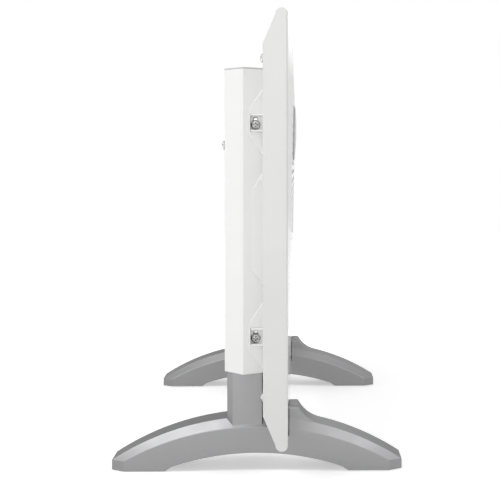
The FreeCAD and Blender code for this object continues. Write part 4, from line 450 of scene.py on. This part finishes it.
def dress_cad_nodes(materials):
    """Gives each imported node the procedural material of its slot, and a finer form where its edges show."""
    slot_of = {part["node"]: part["material_slot"] for part in frame["record"]["subparts"]}
    for node, piece in frame["nodes"].items():
        slot = slot_of[node]
        piece.data.materials.clear()
        piece.data.materials.append(materials[slot])
        if node in EDGE_RADIUS:
            fine = fine_copy(node, EDGE_RADIUS[node] * MM, materials[slot], slot)
            if node == "foot_left":
                second_foot(fine, materials[slot], slot)


def close_prism(work, top, base):
    """Adds the two ends of a prism and its sides, from the corners round its top and those under them."""
    work.faces.new(top)
    work.faces.new(base[::-1])
    for here in range(len(top)):
        onward = (here + 1) % len(top)
        work.faces.new((top[onward], top[here], base[here], base[onward]))


def block_at(work, corners, depth):
    """Adds a block: the corners in a row round its top, and the same moved by a depth."""
    top = [work.verts.new(corner) for corner in corners]
    base = [work.verts.new(corner + depth) for corner in corners]
    close_prism(work, top, base)


def plate_at(work, outline, y):
    """Adds a thin flat plate with an outline in X and Z, whose outer face is at a place in Y."""
    top = [work.verts.new((x, y, z)) for x, z in outline]
    base = [work.verts.new((x, y - PRINT_DEPTH, z)) for x, z in outline]
    close_prism(work, top, base)


def finished(work, name):
    """The mesh that has been worked on, with its faces turned outwards."""
    bmesh.ops.recalc_face_normals(work, faces=work.faces)
    mesh = bpy.data.meshes.new(name)
    work.to_mesh(mesh)
    work.free()
    return mesh


def arc(center, radius, start, end, steps):
    """Points along an arc in X and Z, from one angle to another in degrees from straight up."""
    turns = [math.radians(start + (end - start) * step / steps) for step in range(steps + 1)]
    return [(center[0] + radius * math.sin(turn), center[1] + radius * math.cos(turn)) for turn in turns]


def dial_ticks():
    """Ticks for the knob, sloped like its skirt, every third one longer."""
    work = bmesh.new()
    for tick in range(DIAL_TICKS):
        turn = math.radians(DIAL_STEP * tick)
        out = Vector((math.sin(turn), 0.0, math.cos(turn)))
        aside = Vector((math.cos(turn), 0.0, -math.sin(turn))) * DIAL_TICK_HALF
        inner = DIAL_INNER if tick % DIAL_LONG_EVERY == 0 else (DIAL_INNER + DIAL_OUTER) / 2
        ends = []
        for radius in (DIAL_OUTER, inner):
            rise = KNOB_FOOT_Y + SKIRT_RISE + (SKIRT_RADIUS - radius) * SKIRT_SLOPE + PRINT_RISE
            ends.append(Vector((CONTROL_X, rise, KNOB_Z)) + out * radius)
        corners = [ends[0] - aside, ends[0] + aside, ends[1] + aside, ends[1] - aside]
        block_at(work, corners, Vector((0.0, -PRINT_DEPTH, 0.0)))
    return finished(work, "dial_ticks")


def pointer_line():
    """The line printed on the knob's raised pointer."""
    work = bmesh.new()
    top_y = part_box("thermostat_knob")[1][1] + PRINT_RISE
    left_x, right_x = CONTROL_X - POINTER_HALF, CONTROL_X + POINTER_HALF
    low_z, high_z = KNOB_Z + POINTER_START, KNOB_Z + POINTER_END
    plate_at(work, [(left_x, low_z), (right_x, low_z), (right_x, high_z), (left_x, high_z)], top_y)
    return finished(work, "pointer_line")


def sign_at(work, center, filled_to, face_y):
    """Adds a sign: a disc filled up to an angle, with a ring of small plates round it."""
    disc = arc(center, SIGN_RADIUS * SIGN_FILL_SHARE, 0.0, filled_to, SIGN_STEPS)
    if filled_to == FULL_TURN:
        disc.pop()  # where it started
    plate_at(work, disc, face_y)
    step = FULL_TURN / SIGN_STEPS
    for part in range(SIGN_STEPS):
        start, end = part * step, (part + 1) * step
        outer = arc(center, SIGN_RADIUS, start, end, 1)
        inner = arc(center, SIGN_RADIUS * SIGN_RING_SHARE, end, start, 1)
        plate_at(work, outer + inner, face_y)


def fascia_marks():
    """The print on the fascia: a marker over the knob and a sign beside each rocker."""
    work = bmesh.new()
    face_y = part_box("control_fascia")[1][1] + PRINT_RISE
    low_z = KNOB_Z + MARKER_RISE
    high_z = low_z + 2 * MARKER_HALF
    marker = [(CONTROL_X - MARKER_HALF, high_z), (CONTROL_X + MARKER_HALF, high_z), (CONTROL_X, low_z)]
    plate_at(work, marker, face_y)
    for rocker, filled_to in SIGN_FILLED_TO.items():
        low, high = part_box(rocker)
        sign_at(work, (CONTROL_X + SIGN_OFFSET, (low[2] + high[2]) / 2), filled_to, face_y)
    bmesh.ops.remove_doubles(work, verts=work.verts, dist=SAME_PRINT_CORNER)
    return finished(work, "fascia_marks")


def slit_shade_strip(foot):
    """A thin dark strip on the back of a foot's hook, where the panel's face bears on it: painted shade that
    makes the slit between them dark.
    """
    work = bmesh.new()
    low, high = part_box(foot)
    middle = (low[1] + high[1]) / 2
    near, far = middle - SLIT_SHADE_HALF, middle + SLIT_SHADE_HALF
    outline = [(near, SLIT_SHADE_LOW_Z), (far, SLIT_SHADE_LOW_Z), (far, SLIT_SHADE_HIGH_Z), (near, SLIT_SHADE_HIGH_Z)]
    corners = [Vector((SLIT_SHADE_FRONT_X, y, z)) for y, z in outline]
    block_at(work, corners, Vector((SLIT_SHADE_BACK_X - SLIT_SHADE_FRONT_X, 0.0, 0.0)))
    return finished(work, foot + "_slit_shade")


def add_details(materials):
    """The small pieces that only the visual model has."""
    white, shade_strip_rubber = materials["print_white"], materials["pad_rubber"]
    add_piece("dial_ticks", dial_ticks(), white, "thermostat", "block_white")
    add_piece("pointer_line", pointer_line(), white, "thermostat", "block_white")
    add_piece("fascia_marks", fascia_marks(), white, "heater", "block_white")
    # painted shade: a dark strip on the back of each hook darkens the slit next to the panel
    for foot in ("foot_left", "foot_right"):
        add_piece(foot + "_slit_shade", slit_shade_strip(foot), shade_strip_rubber, "heater", "pad_rubber")


def combined(tree, operation, first, second):
    """The result of a Math node that two sockets feed."""
    node = tree.nodes.new("ShaderNodeMath")
    node.operation = operation
    tree.links.new(first, node.inputs[0])
    tree.links.new(second, node.inputs[1])
    return node.outputs["Value"]


def one_for_rays(tree, *kinds):
    """One for a ray of any of these kinds and zero for others."""
    rays = tree.nodes.new("ShaderNodeLightPath")
    seen = rays.outputs[kinds[0]]
    for kind in kinds[1:]:
        seen = combined(tree, "MAXIMUM", seen, rays.outputs[kind])
    return seen


def build_floor():
    """A pale floor that reads as white paper to the camera and keeps the object's shadow."""
    half = FLOOR_SIZE / 2
    mesh = bpy.data.meshes.new("floor")
    corners = [(-half, -half, 0), (half, -half, 0), (half, half, 0), (-half, half, 0)]
    mesh.from_pydata(corners, [], [(0, 1, 2, 3)])
    floor = bpy.data.objects.new("floor", mesh)
    bpy.context.scene.collection.objects.link(floor)
    material = bpy.data.materials.new("floor")
    material.use_nodes = True
    tree = material.node_tree
    shader = tree.nodes["Principled BSDF"]
    shader.inputs["Base Color"].default_value = (*FLOOR_COLOR, 1.0)
    shader.inputs["Roughness"].default_value = FLOOR_ROUGHNESS
    shader.inputs["Specular IOR Level"].default_value = FLOOR_SPECULAR
    seen = one_for_rays(tree, "Is Camera Ray", "Is Glossy Ray")
    place = tree.nodes.new("ShaderNodeTexCoord")
    distance = tree.nodes.new("ShaderNodeVectorMath")
    distance.operation = "LENGTH"
    tree.links.new(place.outputs["Object"], distance.inputs[0])
    rise = tree.nodes.new("ShaderNodeMapRange")
    rise.interpolation_type = "SMOOTHSTEP"
    rise.inputs["From Min"].default_value = FLOOR_NEAR
    rise.inputs["From Max"].default_value = FLOOR_FAR
    rise.inputs["To Min"].default_value = FLOOR_GLOW
    rise.inputs["To Max"].default_value = FLOOR_FAR_GLOW
    tree.links.new(distance.outputs["Value"], rise.inputs["Value"])
    shader.inputs["Emission Color"].default_value = (1.0, 1.0, 1.0, 1.0)
    glow = combined(tree, "MULTIPLY", seen, rise.outputs["Result"])
    tree.links.new(glow, shader.inputs["Emission Strength"])
    mesh.materials.append(material)


def build_world():
    """White to the camera and in reflections, a plain grey light on everything else."""
    world = bpy.data.worlds.new("studio")
    world.use_nodes = True
    tree = world.node_tree
    background = tree.nodes["Background"]
    background.inputs["Color"].default_value = (1.0, 1.0, 1.0, 1.0)
    strength = tree.nodes.new("ShaderNodeMapRange")
    strength.inputs["To Min"].default_value = WORLD_LIGHT
    strength.inputs["To Max"].default_value = 1.0
    seen = one_for_rays(tree, "Is Camera Ray", "Is Glossy Ray", "Is Transmission Ray")
    tree.links.new(seen, strength.inputs["Value"])
    tree.links.new(strength.outputs["Result"], background.inputs["Strength"])
    bpy.context.scene.world = world


def build_lamps():
    """Oblong lamps, each turned to face the heater with its length along its own way."""
    target = Vector(LAMP_TARGET)
    for name, place, (length, width), way, power in LAMPS:
        lamp = bpy.data.lights.new(name, "AREA")
        lamp.shape = "RECTANGLE"
        lamp.size = length
        lamp.size_y = width
        lamp.energy = power
        holder = bpy.data.objects.new(name, lamp)
        back = (Vector(place) - target).normalized()
        across = back.cross(Vector(way)).normalized()
        turned = Matrix((across.cross(back), across, back)).transposed()
        holder.matrix_world = Matrix.Translation(place) @ turned.to_4x4()
        bpy.context.scene.collection.objects.link(holder)


def build_camera():
    """The photograph's view of the heater's left-hand side."""
    camera = bpy.data.cameras.new("camera")
    camera.sensor_width = CAMERA_SENSOR
    camera.lens = CAMERA_LENS
    camera.shift_x = CAMERA_SHIFT_X
    camera.shift_y = CAMERA_SHIFT_Y
    camera.clip_end = CAMERA_REACH
    holder = bpy.data.objects.new("camera", camera)
    holder.location = CAMERA_PLACE
    holder.rotation_euler = (math.pi / 2 - CAMERA_PITCH, 0.0, -CAMERA_YAW)
    bpy.context.scene.collection.objects.link(holder)
    bpy.context.scene.camera = holder


materials = build_materials()
dress_cad_nodes(materials)
add_details(materials)
build_floor()
build_world()
build_lamps()
build_camera()
bpy.context.scene.view_settings.view_transform = "Standard"
